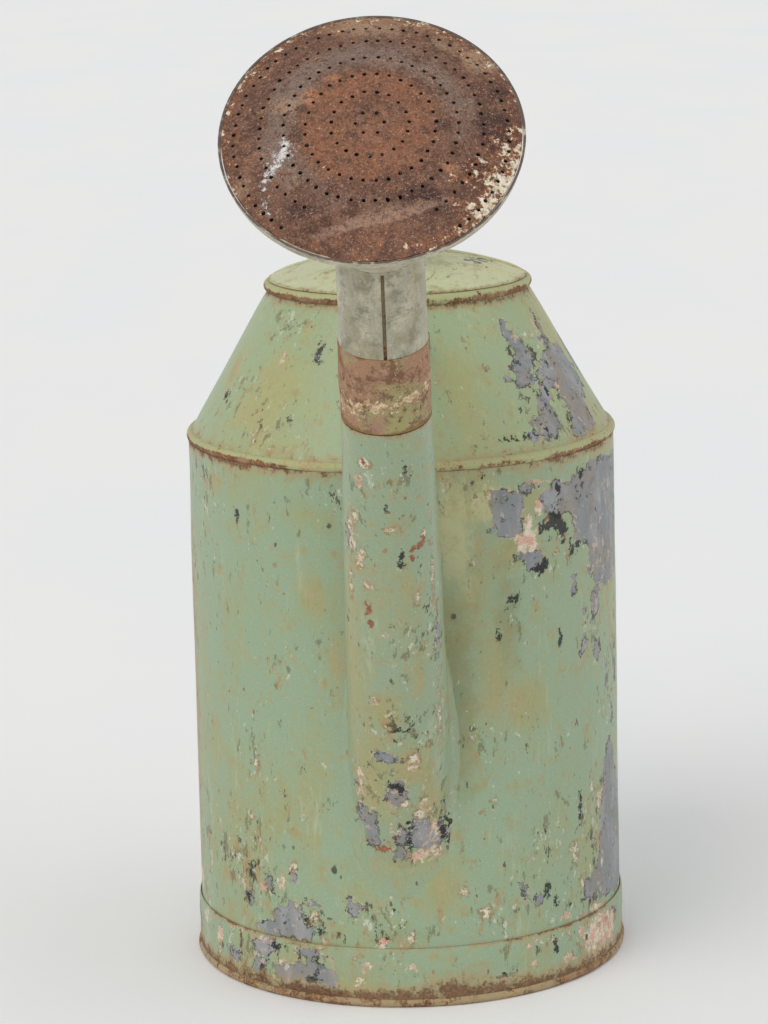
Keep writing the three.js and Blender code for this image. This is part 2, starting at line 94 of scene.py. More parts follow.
SPOUT_TOP_R = 20.4 * MM
SPOUT_ROOT_R = 24.3 * MM
SPOUT_LENGTH = 177.2 * MM
SPIGOT_LENGTH = 15 * MM
SKIRT_WIDTH = 4.3 * MM
STOP = 216.3 * MM  # along the spout, where the rose's collar stands on the tip's shoulder
CROSS_AT = STOP + 50.6 * MM
TIP_NECK = 30 * MM
COLLAR_R = 19.8 * MM
LINER_R = 18.9 * MM
TIP_NECK_R = 18 * MM
SLIT, SLIT_AT = 1.6 * MM, math.radians(4.5)  # the collar's slit: its width, and where it is
CLIP_FOOT, CLIP_TOP = STOP - 15 * MM, STOP - 3 * MM
CLIP_HALF = math.acos(8 / 21.9)  # half the angle that the stay's clip covers

ROSE_TILT = math.radians(43)
HEAD_DIR = np.array([0, -math.cos(ROSE_TILT), math.sin(ROSE_TILT)])
HEAD_UP = np.array([0, math.sin(ROSE_TILT), math.cos(ROSE_TILT)])
ROSE_R = (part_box("rose_rim")[1].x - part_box("rose_rim")[0].x) / 2
FACE_R = (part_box("rose_cone")[1].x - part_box("rose_cone")[0].x) / 2
ROSE_DEPTH = 70.5 * MM
FACE_RISE = 14.5 * MM
ROSE_SHEET = 0.7 * MM
CONE_SLOPE = (FACE_R - COLLAR_R) / ROSE_DEPTH

X = np.array([1.0, 0, 0])
SPOUT_BACK = np.cross(SPOUT_DIR, X)  # square to the spout, towards the can

# ------------------------------------------------------------------ mesh helpers


def object_from(name, verts, faces, sharp=35):
    mesh = bpy.data.meshes.new(name)
    mesh.from_pydata([tuple(v) for v in np.asarray(verts)], [], [tuple(f) for f in faces])
    bm = bmesh.new()
    bm.from_mesh(mesh)
    bmesh.ops.remove_doubles(bm, verts=bm.verts, dist=1e-7)
    bmesh.ops.dissolve_degenerate(bm, edges=bm.edges, dist=1e-8)
    bmesh.ops.recalc_face_normals(bm, faces=bm.faces)
    bm.to_mesh(mesh)
    bm.free()
    mesh.polygons.foreach_set("use_smooth", [True] * len(mesh.polygons))
    mesh.set_sharp_from_angle(angle=math.radians(sharp))
    made = bpy.data.objects.new(name, mesh)
    bpy.context.scene.collection.objects.link(made)
    return made


def put(piece, material, body, slot, *nodes):
    piece.data.materials.clear()
    piece.data.materials.append(material)
    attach(piece, body)
    if nodes:
        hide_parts(*nodes)
    return piece


def sheet_solid(name, top, bottom, wrap=True, sharp=35):
    """A closed sheet between two grids of points, [row, column, xyz], which may wrap round."""
    rows, cols = top.shape[:2]
    verts = np.concatenate([top.reshape(-1, 3), bottom.reshape(-1, 3)])
    under = rows * cols
    at = lambda r, c: r * cols + c % cols
    faces = []
    for r in range(rows - 1):
        for c in range(cols if wrap else cols - 1):
            quad = (at(r, c), at(r, c + 1), at(r + 1, c + 1), at(r + 1, c))
            faces += [quad, tuple(under + i for i in reversed(quad))]
    for r in (0, rows - 1):
        for c in range(cols if wrap else cols - 1):
            faces.append((at(r, c), at(r, c + 1), under + at(r, c + 1), under + at(r, c)))
    if not wrap:
        for c in (0, cols - 1):
            for r in range(rows - 1):
                faces.append((at(r, c), at(r + 1, c), under + at(r + 1, c), under + at(r, c)))
    return object_from(name, verts, faces, sharp)


def ring_solid(name, rows, sharp=35, closed=True):
    """A closed ring: a grid that wraps both ways."""
    n, cols = rows.shape[:2]
    at = lambda r, c: (r % n) * cols + c % cols
    spans = [(r, c) for r in range(n if closed else n - 1) for c in range(cols)]
    faces = [(at(r, c), at(r, c + 1), at(r + 1, c + 1), at(r + 1, c)) for r, c in spans]
    return object_from(name, rows.reshape(-1, 3), faces, sharp)


def disc_solid(name, rows):
    """A closed solid of revolution: the first and last rows have shrunk to a point."""
    return ring_solid(name, rows, closed=False)


def turns(columns):
    """That many angles, evenly round a full turn."""
    return np.linspace(0, 2 * math.pi, columns, endpoint=False)


def bell(x, middle, width):
    """1 at middle, falling smoothly to almost nothing 2 widths away."""
    return np.exp(-(((x - middle) / width) ** 2))


def round_can(profile, columns=256):
    """Rows of points round the can's axis from (radius, height) pairs."""
    x, y = np.sin(turns(columns)), np.cos(turns(columns))
    return np.array([np.stack([r * x, AXIS_Y - r * y, np.full_like(x, z)], -1) for r, z in profile])


def on_spout(r, a, s):
    """Points at radius r and angle a round the spout, at s along it. Angle 0 is the front."""
    r, a, s = np.broadcast_arrays(*[np.asarray(v, float) for v in (r, a, s)])
    out = -np.cos(a)[..., None] * SPOUT_BACK + np.sin(a)[..., None] * X
    return CROSS + (s - CROSS_AT)[..., None] * SPOUT_DIR + r[..., None] * out


def on_head(r, a, h):
    """Points at radius r and angle a round the rose's axis, h along it. Angle 0 is the top."""
    r, a, h = np.broadcast_arrays(*[np.asarray(v, float) for v in (r, a, h)])
    out = np.cos(a)[..., None] * HEAD_UP + np.sin(a)[..., None] * X
    return CROSS + h[..., None] * HEAD_DIR + r[..., None] * out


def arc(cx, cy, r, start, end, steps):
    return [(cx + r * math.cos(t), cy + r * math.sin(t)) for t in np.radians(np.linspace(start, end, steps))]


def swept(points, radius, sides=16, closed=True):
    """Rows of a tube round a closed or open line of points."""
    p = np.asarray(points, float)
    n = len(p)
    ahead = np.roll(p, -1, 0) - np.roll(p, 1, 0)
    if not closed:
        ahead[0], ahead[-1] = p[1] - p[0], p[-1] - p[-2]
    ahead /= np.linalg.norm(ahead, axis=1)[:, None]
    rows = []
    side = np.cross(ahead[0], [0.3, 0.2, 0.9])
    radius = np.broadcast_to(radius, n)
    for i in range(n):
        side = side - ahead[i] * (side @ ahead[i])
        side /= np.linalg.norm(side)
        up = np.cross(ahead[i], side)
        a = turns(sides)
        rows.append(p[i] + radius[i] * (np.cos(a)[:, None] * side + np.sin(a)[:, None] * up))
    return np.array(rows)


def capped(rows):
    """Adds a point at each end of an open tube's rows."""
    first = np.repeat(rows[0].mean(0)[None], rows.shape[1], 0)
    last = np.repeat(rows[-1].mean(0)[None], rows.shape[1], 0)
    return np.concatenate([first[None], rows, last[None]])


def rough(points, size, depth, seed=0.0):
    """A smooth number for each point, from -depth to depth, that changes over about size metres."""
    flat = np.asarray(points).reshape(-1, 3) / size + seed
    return np.array([noise.noise(Vector(p)) for p in flat]).reshape(points.shape[:-1]) * depth


def pushed(points, centre, amount):
    """Moves points away from centre by amount."""
    out = points - centre
    out /= np.linalg.norm(out, axis=-1)[..., None]
    return points + out * np.asarray(amount)[..., None]


def widened(points, amount):
    """Moves points away from the can's axis by amount."""
    centre = points.copy()
    centre[..., 0], centre[..., 1] = 0, AXIS_Y
    return pushed(points, centre, amount)


def lumpy(rows, radius, lumps):
    """Moves a bead's rows away from the middle of its section by lumps."""
    return rows + lumps[..., None] * (rows - rows.mean(0)) / radius


def wall_radius(z):
    return FOOT_R + (TOP_R - FOOT_R) * (z - WALL_FOOT) / (WALL_TOP - WALL_FOOT)


def solve(inside, low, high):
    """For each column, the value between low and high at which inside(value) turns false."""
    low, high = low.copy(), high.copy()
    for _ in range(40):
        middle = (low + high) / 2
        yes = inside(middle)
        low, high = np.where(yes, middle, low), np.where(yes, high, middle)
    return low


# ------------------------------------------------------------------ the can's body


def make_wall(material):
    """The round wall, dented, with a lapped seam towards the back and the spout's hole."""
    z = np.linspace(WALL_FOOT, WALL_TOP + 0.8 * MM, 130)
    smooth = round_can([(wall_radius(h), h) for h in z], WALL_COLUMNS)
    seam = np.exp(-(((np.degrees(turns(WALL_COLUMNS)) - SEAM_AT) / SEAM_HALF) ** 8))
    dents = np.minimum(rough(smooth, 0.07, 0.55 * MM) + rough(smooth, 0.02, 0.12 * MM, 5), 0.2 * MM)
    above_band = (z > band_high.z + 1 * MM)[:, None]
    dents *= np.minimum(1, np.minimum(z - WALL_FOOT, WALL_TOP - z) / (12 * MM))[:, None] * above_band
    inner = round_can([(wall_radius(h) - SHEET, h) for h in z], WALL_COLUMNS)
    wall = sheet_solid("wall", widened(smooth, dents + seam * SHEET * above_band), widened(inner, dents))

    a = turns(96)
    hole = np.array([on_spout(spout_radius(s) - SHEET, a, s) for s in np.linspace(-90, 90, 3) * MM])
    cutter = disc_solid("hole_cutter", capped(hole))
    cut = wall.modifiers.new("spout_hole", "BOOLEAN")
    cut.object = cutter
    cut.operation = "DIFFERENCE"
    cut.solver = "EXACT"
    apply_modifiers(wall)
    bpy.data.objects.remove(cutter)
    return put(wall, material, "can", "wall_paint", "body_shell")


def apply_modifiers(piece):
    bpy.context.view_layer.update()
    shaped = piece.evaluated_get(bpy.context.evaluated_depsgraph_get())
    mesh = bpy.data.meshes.new_from_object(shaped)
    piece.modifiers.clear()
    piece.data = mesh


def spout_radius(s):
    return SPOUT_ROOT_R + (SPOUT_TOP_R - SPOUT_ROOT_R) * s / SPOUT_LENGTH


def make_foot(band_material, bead_material, plate_material):
    """The band round the foot with its lapped end, the bead it stands on, and the bottom."""
    z = np.linspace(band_low.z + 0.4 * MM, band_high.z - 0.8 * MM, 12)
    foot, top = band_low.z - 0.5 * MM, band_high.z
    profile = [(BAND_R - 0.9 * MM, foot), (BAND_R - 0.2 * MM, foot)]
    profile += [(BAND_R + 0.1 * MM * math.sin(4 * math.pi * i / 11), h) for i, h in enumerate(z)]
    profile += [(BAND_R - 0.1 * MM, top - 0.3 * MM), (BAND_R - 0.5 * MM, top), (BAND_R - 0.95 * MM, top)]
    rows = round_can(profile, WALL_COLUMNS)
    angle = np.degrees(turns(WALL_COLUMNS))
    angle = np.where(angle > 180, angle - 360, angle)
    lap = np.clip((angle - LAP_START) / 3, 0, 1) * np.clip((LAP_END - angle) / 0.5, 0, 1)
    bumps = np.clip(rough(rows, 0.03, 0.35 * MM, 9), -0.4 * MM, 0.2 * MM)
    outward = bumps + lap * 0.7 * MM - 0.1 * MM
    outward[-4:] -= 0.35 * MM * (1 - lap)
    rows[2:-1] = widened(rows[2:-1], outward[2:-1])
    band = put(ring_solid("foot_band", rows), band_material, "can", "base_paint", "base_band")

    rows = round_can(arc(FOOT_R, FOOT_BEAD_R, FOOT_BEAD_R, 0, 360, 17)[:-1])
    rows = lumpy(rows, FOOT_BEAD_R, rough(rows, 0.02, 0.25 * MM, 3))
    rows[..., 2] = np.maximum(rows[..., 2], 0)
    put(ring_solid("foot_bead", rows), bead_material, "can", "rusty_bead", "base_bead")

    r, low, high = FOOT_R - SHEET - GAP, plate_low.z, plate_high.z
    profile = [(0, high - SHEET), (r - 3 * MM, high - SHEET), (r - SHEET, high - 2.5 * MM)]
    profile += [(r - SHEET, low), (r, low), (r, high - 1 * MM), (r - 1 * MM, high)]
    profile += [(r * k, high) for k in (0.9, 0.6, 0.3, 0)]
    put(disc_solid("base", round_can(profile, 192)), plate_material, "can", "base_zinc", "base_plate")
    return band


def rust_under(middle, radius):
    """How rusty a bead is: nothing on top, most underneath, and more towards the can's left and right."""

    def field(co):
        angle, z = unrolled(co)
        strength = 0.5 + bell(angle, -62, 34) + 0.6 * bell(angle, 62, 22) + 0.4 * (abs(angle) > 100)
        return strength * np.clip(0.6 - 1.2 * (z * MM - middle) / radius, 0, 1)

    return field


def make_shoulder(cone_material, bead_material, wire_material):
    """The shoulder's bead and cone, and the neck's rolled edge with the wire in it."""
    section = arc(TOP_R + 0.8 * MM - SHOULDER_BEAD_R, SHOULDER_Z, SHOULDER_BEAD_R, 0, 360, 19)[:-1]
    rows = round_can(section, 320)
    rows = lumpy(rows, SHOULDER_BEAD_R, np.minimum(rough(rows, 0.012, 0.3 * MM, 11), 0))
    roll = put(ring_solid("shoulder_roll", rows), bead_material, "can", "rusty_bead", "shoulder_bead")
    mark(roll, under=rust_under(SHOULDER_Z + 0.4 * MM, SHOULDER_BEAD_R))

    tuck = 0.9 * MM  # how far the cone's edges run into the beads
    slope = (cone_high.x - CONE_TOP_R) / (cone_high.z - cone_low.z)
    z = np.linspace(cone_low.z - tuck, cone_high.z + tuck, 70)
    outer = round_can(zip(cone_high.x - slope * (z - cone_low.z), z), 320)
    dents = np.clip(rough(outer, 0.05, 0.7 * MM, 21), -0.8 * MM, 0.25 * MM)
    dents *= np.minimum(1, np.minimum(z - z[0], z[-1] - z) / (10 * MM))[:, None]
    outer = widened(outer, dents)
    cone = sheet_solid("shoulder", outer, widened(outer, -SHEET))
    put(cone, cone_material, "can", "shoulder_paint", "shoulder_cone")

    section = arc(NECK_R, NECK_Z, NECK_BEAD_R, -100, 215, 20)
    section += arc(NECK_R, NECK_Z, NECK_BEAD_R - SHEET, 215, -100, 20)
    rows = round_can(section, 288)
    rows = lumpy(rows, NECK_BEAD_R, np.minimum(rough(rows, 0.015, 0.25 * MM, 31), 0))
    roll = put(ring_solid("neck_roll", rows), bead_material, "can", "rusty_bead", "neck_bead")
    mark(roll, under=rust_under(NECK_Z + 0.6 * MM, NECK_BEAD_R))
    rows = round_can(arc(NECK_R, NECK_Z, NECK_WIRE_R, 0, 360, 13)[:-1], 192)
    put(ring_solid("neck_core", rows), wire_material, "can", "rusty_wire", "neck_wire")
    return cone


# ------------------------------------------------------------------ hood

HOOD_RISE = HOOD_TOP - HOOD_FOOT
HOOD_SPHERE = (HOOD_R**2 + HOOD_RISE**2) / (2 * HOOD_RISE)


def hood_height(x, y):
    """The hood's outside over a point given from the can's axis."""
    return HOOD_TOP - HOOD_SPHERE + np.sqrt(HOOD_SPHERE**2 - x**2 - y**2)


def make_hood(material):
    """The domed half cover over the front of the mouth, and the wired edge across it."""
    x = HOOD_R * 0.9995 * np.sin(np.linspace(-math.pi / 2, math.pi / 2, 97))
    back, front = HOOD_BACK - AXIS_Y, -np.sqrt(HOOD_R**2 - x**2)
    y = back + (front - back)[None] * np.linspace(0, 1, 40)[:, None]
    x = np.broadcast_to(x, y.shape)
    top = np.stack([x, y + AXIS_Y, hood_height(x, y)], -1)
    edge = 1 - np.clip(np.hypot(x, y) / HOOD_R, 0, 1)
    top[..., 2] += np.clip(rough(top, 0.035, 0.9 * MM, 41), -1 * MM, 0.1 * MM) * np.minimum(1, 6 * edge)
    hood = sheet_solid("hood_sheet", top, top - (0, 0, SHEET), wrap=False)
    put(hood, material, "can", "hood_paint", "hood")

    wire_low, wire_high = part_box("hood_wire")
    u = np.linspace(-0.97 * HOOD_R, 0.97 * HOOD_R, 71)
    y = (wire_low.y + wire_high.y) / 2
    line = np.stack([u, np.full_like(u, y), hood_height(u, y - AXIS_Y) - SHEET / 2], -1)
    width = (wire_high.y - wire_low.y) / 2 * np.clip((1.03 - abs(u) / HOOD_R) * 5, 0.3, 0.8)
    wire = disc_solid("hood_edge", capped(swept(line, width, closed=False)))
    put(wire, material, "can", "rusty_bead", "hood_wire")
    return hood


# ------------------------------------------------------------------ spout


def meets_wall(a, margin):
    """Along the spout, where its surface widened by margin comes within GAP of the can's wall."""

    def inside(s):
        p = on_spout(spout_radius(s) + margin, a, s)
        return np.hypot(p[:, 0], p[:, 1] - AXIS_Y) <= wall_radius(p[:, 2]) + GAP

    return solve(inside, np.full_like(a, -95 * MM), np.full_like(a, 150 * MM))


def make_spout(material, tip_material):
    """The tapering spout, the skirt that is soldered to the wall, and the tip."""
    a = turns(160)
    foot = meets_wall(a, 0)
    t = np.linspace(0, 1, 110)[:, None]
    s = foot + t * (SPOUT_LENGTH - foot)
    smooth = on_spout(spout_radius(s), a, s)
    dents = rough(smooth, 0.035, 0.7 * MM, 51) + rough(smooth, 0.012, 0.15 * MM, 52)
    dents = np.clip(dents, -0.9 * MM, 0.25 * MM) * np.minimum(1, np.minimum(t, 1 - t) * 12)
    outer, inner = (on_spout(spout_radius(s) + dents - deep, a, s) for deep in (0, SHEET))
    tube = put(sheet_solid("spout", outer, inner), material, "can", "spout_paint", "spout_tube")

    skirt_at = meets_wall(a, SKIRT_WIDTH)
    on_wall = on_spout(spout_radius(skirt_at) + SKIRT_WIDTH, a, skirt_at)
    corner = on_spout(spout_radius(foot) + 0.5 * MM, a, foot)
    reach = foot + (7 + 3 * (1 - np.cos(a)) / 2) * MM
    on_tube = on_spout(spout_radius(reach) - 1.0 * MM, a, reach)
    lip, under = widened(on_wall, -0.35 * MM), widened(on_wall, -0.6 * MM)
    v = np.linspace(0, 1, 14)[:, None, None]
    top = (1 - v) ** 2 * on_tube + 2 * v * (1 - v) * corner + v**2 * lip
    bottom = (1 - v) * (on_tube * 0.5 + corner * 0.5) + v * under
    top = widened(top, np.clip(rough(top, 0.012, 0.5 * MM, 61), -0.2 * MM, 0.4 * MM))
    skirt = sheet_solid("spout_skirt", top, bottom, sharp=50)
    put(skirt, material, "can", "spout_paint", "spout_saddle")

    # The tip: a spigot in the tube, a bare band as wide as the tube, and the neck that holds the rose.
    r, w = SPOUT_TOP_R, SHEET
    spigot, root = r - SHEET - 2 * GAP, SPOUT_LENGTH - SPIGOT_LENGTH
    foot, stop, end = SPOUT_LENGTH + GAP, STOP - GAP, STOP + TIP_NECK
    profile = [(spigot, root), (spigot, foot), (r - 0.5 * MM, foot)]
    band_at = len(profile)
    for k in np.linspace(0, 1, 22):
        height = foot + 0.4 * MM + k * (STOP - foot - 1.6 * MM)
        profile.append((r + 0.25 * MM * math.sin(math.pi * k), height))
    band = slice(band_at, len(profile))
    profile += [(r - 0.6 * MM, stop), (TIP_NECK_R, stop), (TIP_NECK_R, end), (TIP_NECK_R - w, end)]
    profile += [(TIP_NECK_R - w, stop - w), (r - w, STOP - 2 * MM), (r - w, foot + w), (spigot - w, foot + w)]
    profile += [(spigot - w, root)]
    radius, s = (np.array(v)[:, None] for v in zip(*profile))
    rows = on_spout(radius, turns(144), s)
    crust = rough(rows, 0.006, 0.22 * MM, 71) + rough(rows, 0.02, 0.3 * MM, 72)
    rows[band] = on_spout(radius + crust, turns(144), s)[band]
    put(ring_solid("tip", rows), tip_material, "can", "rusty_tip", "spout_tip")
    return tube, skirt


# ------------------------------------------------------------------ stay


def make_stay(strap_material, clip_material):
    """The clip round the spout's tip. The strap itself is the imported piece, with softer edges."""
    a = np.linspace(math.pi - CLIP_HALF, math.pi + CLIP_HALF, 48)
    s = np.linspace(CLIP_FOOT, CLIP_TOP, 5)[:, None]
    bow = 0.25 * MM * np.sin(np.linspace(0, math.pi, 5))[:, None]
    inside = SPOUT_TOP_R + GAP
    outer, inner = on_spout(inside + 0.95 * MM + bow, a, s), on_spout(inside, a, s)
    clip = sheet_solid("stay_strap_clip", outer, inner, wrap=False)
    put(clip, clip_material, "can", "rusty_tip", "stay_clip")

    strap = frame["nodes"]["spout_stay"]
    strap.data.materials.clear()
    strap.data.materials.append(strap_material)
    soft = strap.modifiers.new("soft_edges", "BEVEL")
    soft.width = 0.4 * MM
    soft.segments = 2
    soft.limit_method = "ANGLE"


# ------------------------------------------------------------------ rose

FACE_H = ROSE_DEPTH + GAP


def cone_radius(h):
    return COLLAR_R + CONE_SLOPE * h


def to_spout_axis(points):
    d = points - CROSS
    return np.linalg.norm(d - (d @ SPOUT_DIR)[..., None] * SPOUT_DIR, axis=-1)


def in_head(points):
    """Radius round the rose's axis and distance along it."""
    d = points - CROSS
    h = d @ HEAD_DIR
    return np.linalg.norm(d - h[..., None] * HEAD_DIR, axis=-1), h


def funnel_foot(a):
    """Along the spout's axis, where the collar's surface at angles a meets the funnel."""

    def below(s):
        r, h = in_head(on_spout(COLLAR_R, a, s))
        return r > np.maximum(cone_radius(h), 0)

    return solve(below, np.full_like(a, STOP), np.full_like(a, CROSS_AT + 45 * MM))


def make_collar(material, liner_material):
    """The rose's split sleeve with the liner inside it, and the solder where it joins the funnel."""
    start = SLIT_AT + SLIT / 2 / COLLAR_R
    a = np.linspace(start, start + 2 * math.pi - SLIT / COLLAR_R, 161)
    top = funnel_foot(a) - GAP
    t = np.concatenate([[0, 0.01], np.linspace(0.03, 1, 40)])[:, None]
    s = STOP + t * (top - STOP)
    wave = rough(on_spout(COLLAR_R, a, s), 0.02, 0.3 * MM, 81) + 0.35 * MM * np.exp(-t * 40)
    wave += 0.25 * MM * bell(np.minimum(a - a[0], a[-1] - a), 0, 0.1)
    outer, inner = (on_spout(COLLAR_R + wave - deep * MM, a, s) for deep in (0.15, 0.75))
    put(sheet_solid("collar", outer, inner, wrap=False), material, "rose", "collar_zinc", "rose_collar")

    liner_top, inside = top[0] - 1 * MM, LINER_R - 0.6 * MM
    profile = [(inside, STOP), (LINER_R, STOP), (LINER_R, liner_top), (inside, liner_top)]
    rows = np.array([on_spout(r, turns(128), s) for r, s in profile])
    put(ring_solid("liner", rows), liner_material, "rose_liner", "rusty_wire", "rose_sleeve")

    a = turns(180)
    line = on_spout(COLLAR_R + 0.25 * MM, a, funnel_foot(a))
    size = 0.85 * MM + rough(line, 0.008, 0.3 * MM, 83)
    put(ring_solid("rose_solder", swept(line, size, 12), sharp=80), material, "rose", "collar_zinc")


def make_rose(zinc_material, face_material):
    """The rose's funnel, the folded rim and the face."""
    a = turns(224)

    def in_collar(h):
        return to_spout_axis(on_head(np.maximum(cone_radius(h), 0), a, h)) < COLLAR_R + 0.3 * MM

    foot = solve(in_collar, np.full_like(a, -27 * MM), np.full_like(a, ROSE_DEPTH))
    t = np.linspace(0, 1, 44)[:, None]
    h = foot + t * (ROSE_DEPTH - foot)
    dents = np.clip(rough(on_head(cone_radius(h), a, h), 0.03, 0.8 * MM, 91), -1 * MM, 0.15 * MM)
    dents *= np.minimum(1, np.minimum(t, 1 - t) * 8)
    outer, inner = (on_head(cone_radius(h) + dents - deep, a, h) for deep in (0, ROSE_SHEET))
    put(sheet_solid("rose_funnel", outer, inner), zinc_material, "rose", "rose_zinc", "rose_cone")

    top = FACE_H + ROSE_SHEET
    # The rim's section, in mm out from its edge and down from its top.
    section = [(-1.2, -3.9), (-1.1, -4.4), (-0.9, -4.4), (-0.7, -2.2), (-0.45, -0.9)]
    section += arc(-0.45, -0.45, 0.45, 0, 90, 5) + [(-1.1, -0.1), (-1.2, -0.5)]
    rows = np.array([on_head(ROSE_R + out * MM, a, top + up * MM) for out, up in section])
    rows = rows + np.minimum(rough(rows, 0.009, 0.25 * MM, 93), 0)[..., None] * HEAD_DIR
    edge = put(ring_solid("rose_edge", rows), zinc_material, "rose", "rose_zinc", "rose_rim")
    mark(edge, lip=lambda co: np.exp(((co - CROSS) @ HEAD_DIR - top) / (0.5 * MM)))
    return make_face(face_material)


HOLE_R = 0.9 * MM
# Rings of holes: radius, holes, degrees left blank at the bottom, and how far they sit below the middle.
RINGS = [
    (5.8, 6, 0, 3.3), (16.3, 19, 0, 3.3), (27.2, 32, 0, 3.5),
    (36.4, 44, 0, 2.8), (46.7, 56, 70, 1.9), (57.4, 68, 70, 2.5),
]


def crease(x):
    """The bent line across the lower face, where the dent begins."""
    return -40.5 * MM + 0.235 * x + 1.4 * x**2


def face_height(x, y):
    """The dented dome, over its edge. y runs to the rose's top."""
    dome = FACE_RISE * (1 - (np.hypot(x, y) / FACE_R) ** 2)
    below = crease(x) - y
    dent = np.clip(below / (4 * MM), 0, 1) * bell(below, 0, 14 * MM) * np.exp(-((x / (36 * MM)) ** 4))
    hollow = bell(x, -24 * MM, 13 * MM) * bell(y, -8 * MM, 16 * MM)
    shallow = bell(x, 20 * MM, 15 * MM) * bell(y, 6 * MM, 22 * MM)
    return dome - 4.6 * MM * dent - 0.8 * MM * hollow - 0.9 * MM * shallow


def hole_places():
    """Each hole of the face as (x, y, radius), a little out of line as punched by hand."""
    draw = random.Random(7)
    holes = []
    for radius, count, blank, drop in RINGS:
        for i in range(count):
            a = 2 * math.pi * (i + 0.5) / count
            if abs(math.pi - a) < math.radians(blank / 2):
                continue
            a += draw.uniform(-0.35, 0.35) / radius
            r = (radius + draw.uniform(-0.4, 0.4)) * MM
            holes.append((r * math.sin(a), r * math.cos(a) - drop * MM, HOLE_R * draw.uniform(0.85, 1.08)))
    return holes


def flat_face(holes):
    """Points and triangles of a flat disc with the holes in it."""
    points, edges = [], []

    def loop(cx, cy, r, n):
        first = len(points)
        points.extend(Vector((cx + r * math.cos(t), cy + r * math.sin(t))) for t in turns(n))
        edges.extend((first + k, first + (k + 1) % n) for k in range(n))

    loop(0, 0, FACE_R, 256)
    for x, y, r in holes:
        loop(x, y, r, 12)
    hole_at, sizes = np.array(holes)[:, :2], np.array(holes)[:, 2]
    step = 1.5 * MM
    count = int(FACE_R / step)
    for i in range(-count, count + 1):
        for j in range(-count, count + 1):
            x, y = (i + 0.5 * (j % 2)) * step, j * step * 0.87
            if math.hypot(x, y) < FACE_R - 0.8 * MM and np.hypot(*(hole_at - (x, y)).T).min() > 1.25 * MM:
                points.append(Vector((x, y)))
    flat, _, triangles, *_ = geometry.delaunay_2d_cdt(points, edges, [], 0, 1e-7)
    xy = np.array(flat)
    tri = np.array([t for t in triangles if len(t) == 3])
    away = xy[tri].mean(1)[:, None] - hole_at
    return xy, tri[~(np.hypot(away[..., 0], away[..., 1]) < sizes * 0.98).any(1)]


def make_face(material):
    """The perforated face: a thin sheet, domed and dented."""
    xy, tri = flat_face(hole_places())
    x, y = xy.T
    bumps = lambda waves, seed: np.array([noise.noise(Vector((u * waves, v * waves, seed))) for u, v in xy])
    edge = np.clip((1 - np.hypot(x, y) / FACE_R) * 6, 0, 1)
    z = face_height(x, y) + (bumps(60, 3) * 0.5 * MM + bumps(260, 8) * 0.12 * MM) * edge
    lay = lambda h: CROSS + h[:, None] * HEAD_DIR + x[:, None] * X + y[:, None] * HEAD_UP
    n = len(xy)
    faces = [tuple(t) for t in tri] + [tuple(n + k for k in reversed(t)) for t in tri]
    sides = {(t[k], t[(k + 1) % 3]) for t in tri for k in range(3)}
    faces += [(b, a, n + a, n + b) for a, b in sides if (b, a) not in sides]
    points = np.concatenate([lay(FACE_H + z + ROSE_SHEET), lay(FACE_H + z)])
    return put(object_from("rose_plate", points, faces, 40), material, "rose", "rose_rust", "rose_face")


# ------------------------------------------------------------------ handle

HANDLE_R = 12.5 * MM
HANDLE_BACK = 62 * MM
HANDLE_SHEET = 0.9 * MM
HANDLE_LIFT = 1.6 * MM  # between the tube's ends and the hood or the wall
HANDLE_FRONT = -(NECK_R - 23.2 * MM)


def handle_points():
    """The tube's middle line as (distance behind the can's axis, height)."""
    front = float(hood_height(0, HANDLE_FRONT))
    rear_z = SHOULDER_Z - 59 * MM
    back = float(wall_radius(rear_z))
    top = HOOD_FOOT + HOOD_RISE + 85.5 * MM
    rise, drop = top - front, top - rear_z
    return [
        (HANDLE_FRONT + 2 * MM, front - 8 * MM),
        (HANDLE_FRONT, front + 0.3 * rise),
        (0.55 * HANDLE_FRONT, front + 0.8 * rise),
        (0.3 * back, top),
        (back - 0.1 * HANDLE_BACK, top - 0.16 * drop),
        (back + 0.84 * HANDLE_BACK, top - 0.42 * drop),
        (back + 0.8 * HANDLE_BACK, top - 0.72 * drop),
        (back + 0.3 * HANDLE_BACK, rear_z + 0.06 * drop),
        (back - 0.3 * HANDLE_BACK, rear_z - 0.06 * drop),
    ]


def between(t, start, end, a, b):
    """On the straight line that is at a when t is start, and at b when t is end."""
    return (end - t) / (end - start) * a + (t - start) / (end - start) * b


def smooth_line(points, steps):
    """A centripetal Catmull-Rom curve through points."""
    p = [np.array(q, float) for q in points]
    p = [2 * p[0] - p[1]] + p + [2 * p[-1] - p[-2]]
    line = []
    for i in range(1, len(p) - 2):
        p0, p1, p2, p3 = p[i - 1 : i + 3]
        t0 = 0.0
        t1, t2, t3 = np.cumsum([np.linalg.norm(q - o) ** 0.5 for o, q in ((p0, p1), (p1, p2), (p2, p3))])
        for t in np.linspace(t1, t2, steps, endpoint=i == len(p) - 3):
            a1 = between(t, t0, t1, p0, p1)
            a2 = between(t, t1, t2, p1, p2)
            a3 = between(t, t2, t3, p2, p3)
            line.append(between(t, t1, t2, between(t, t0, t2, a1, a2), between(t, t1, t3, a2, a3)))
    return np.array(line)


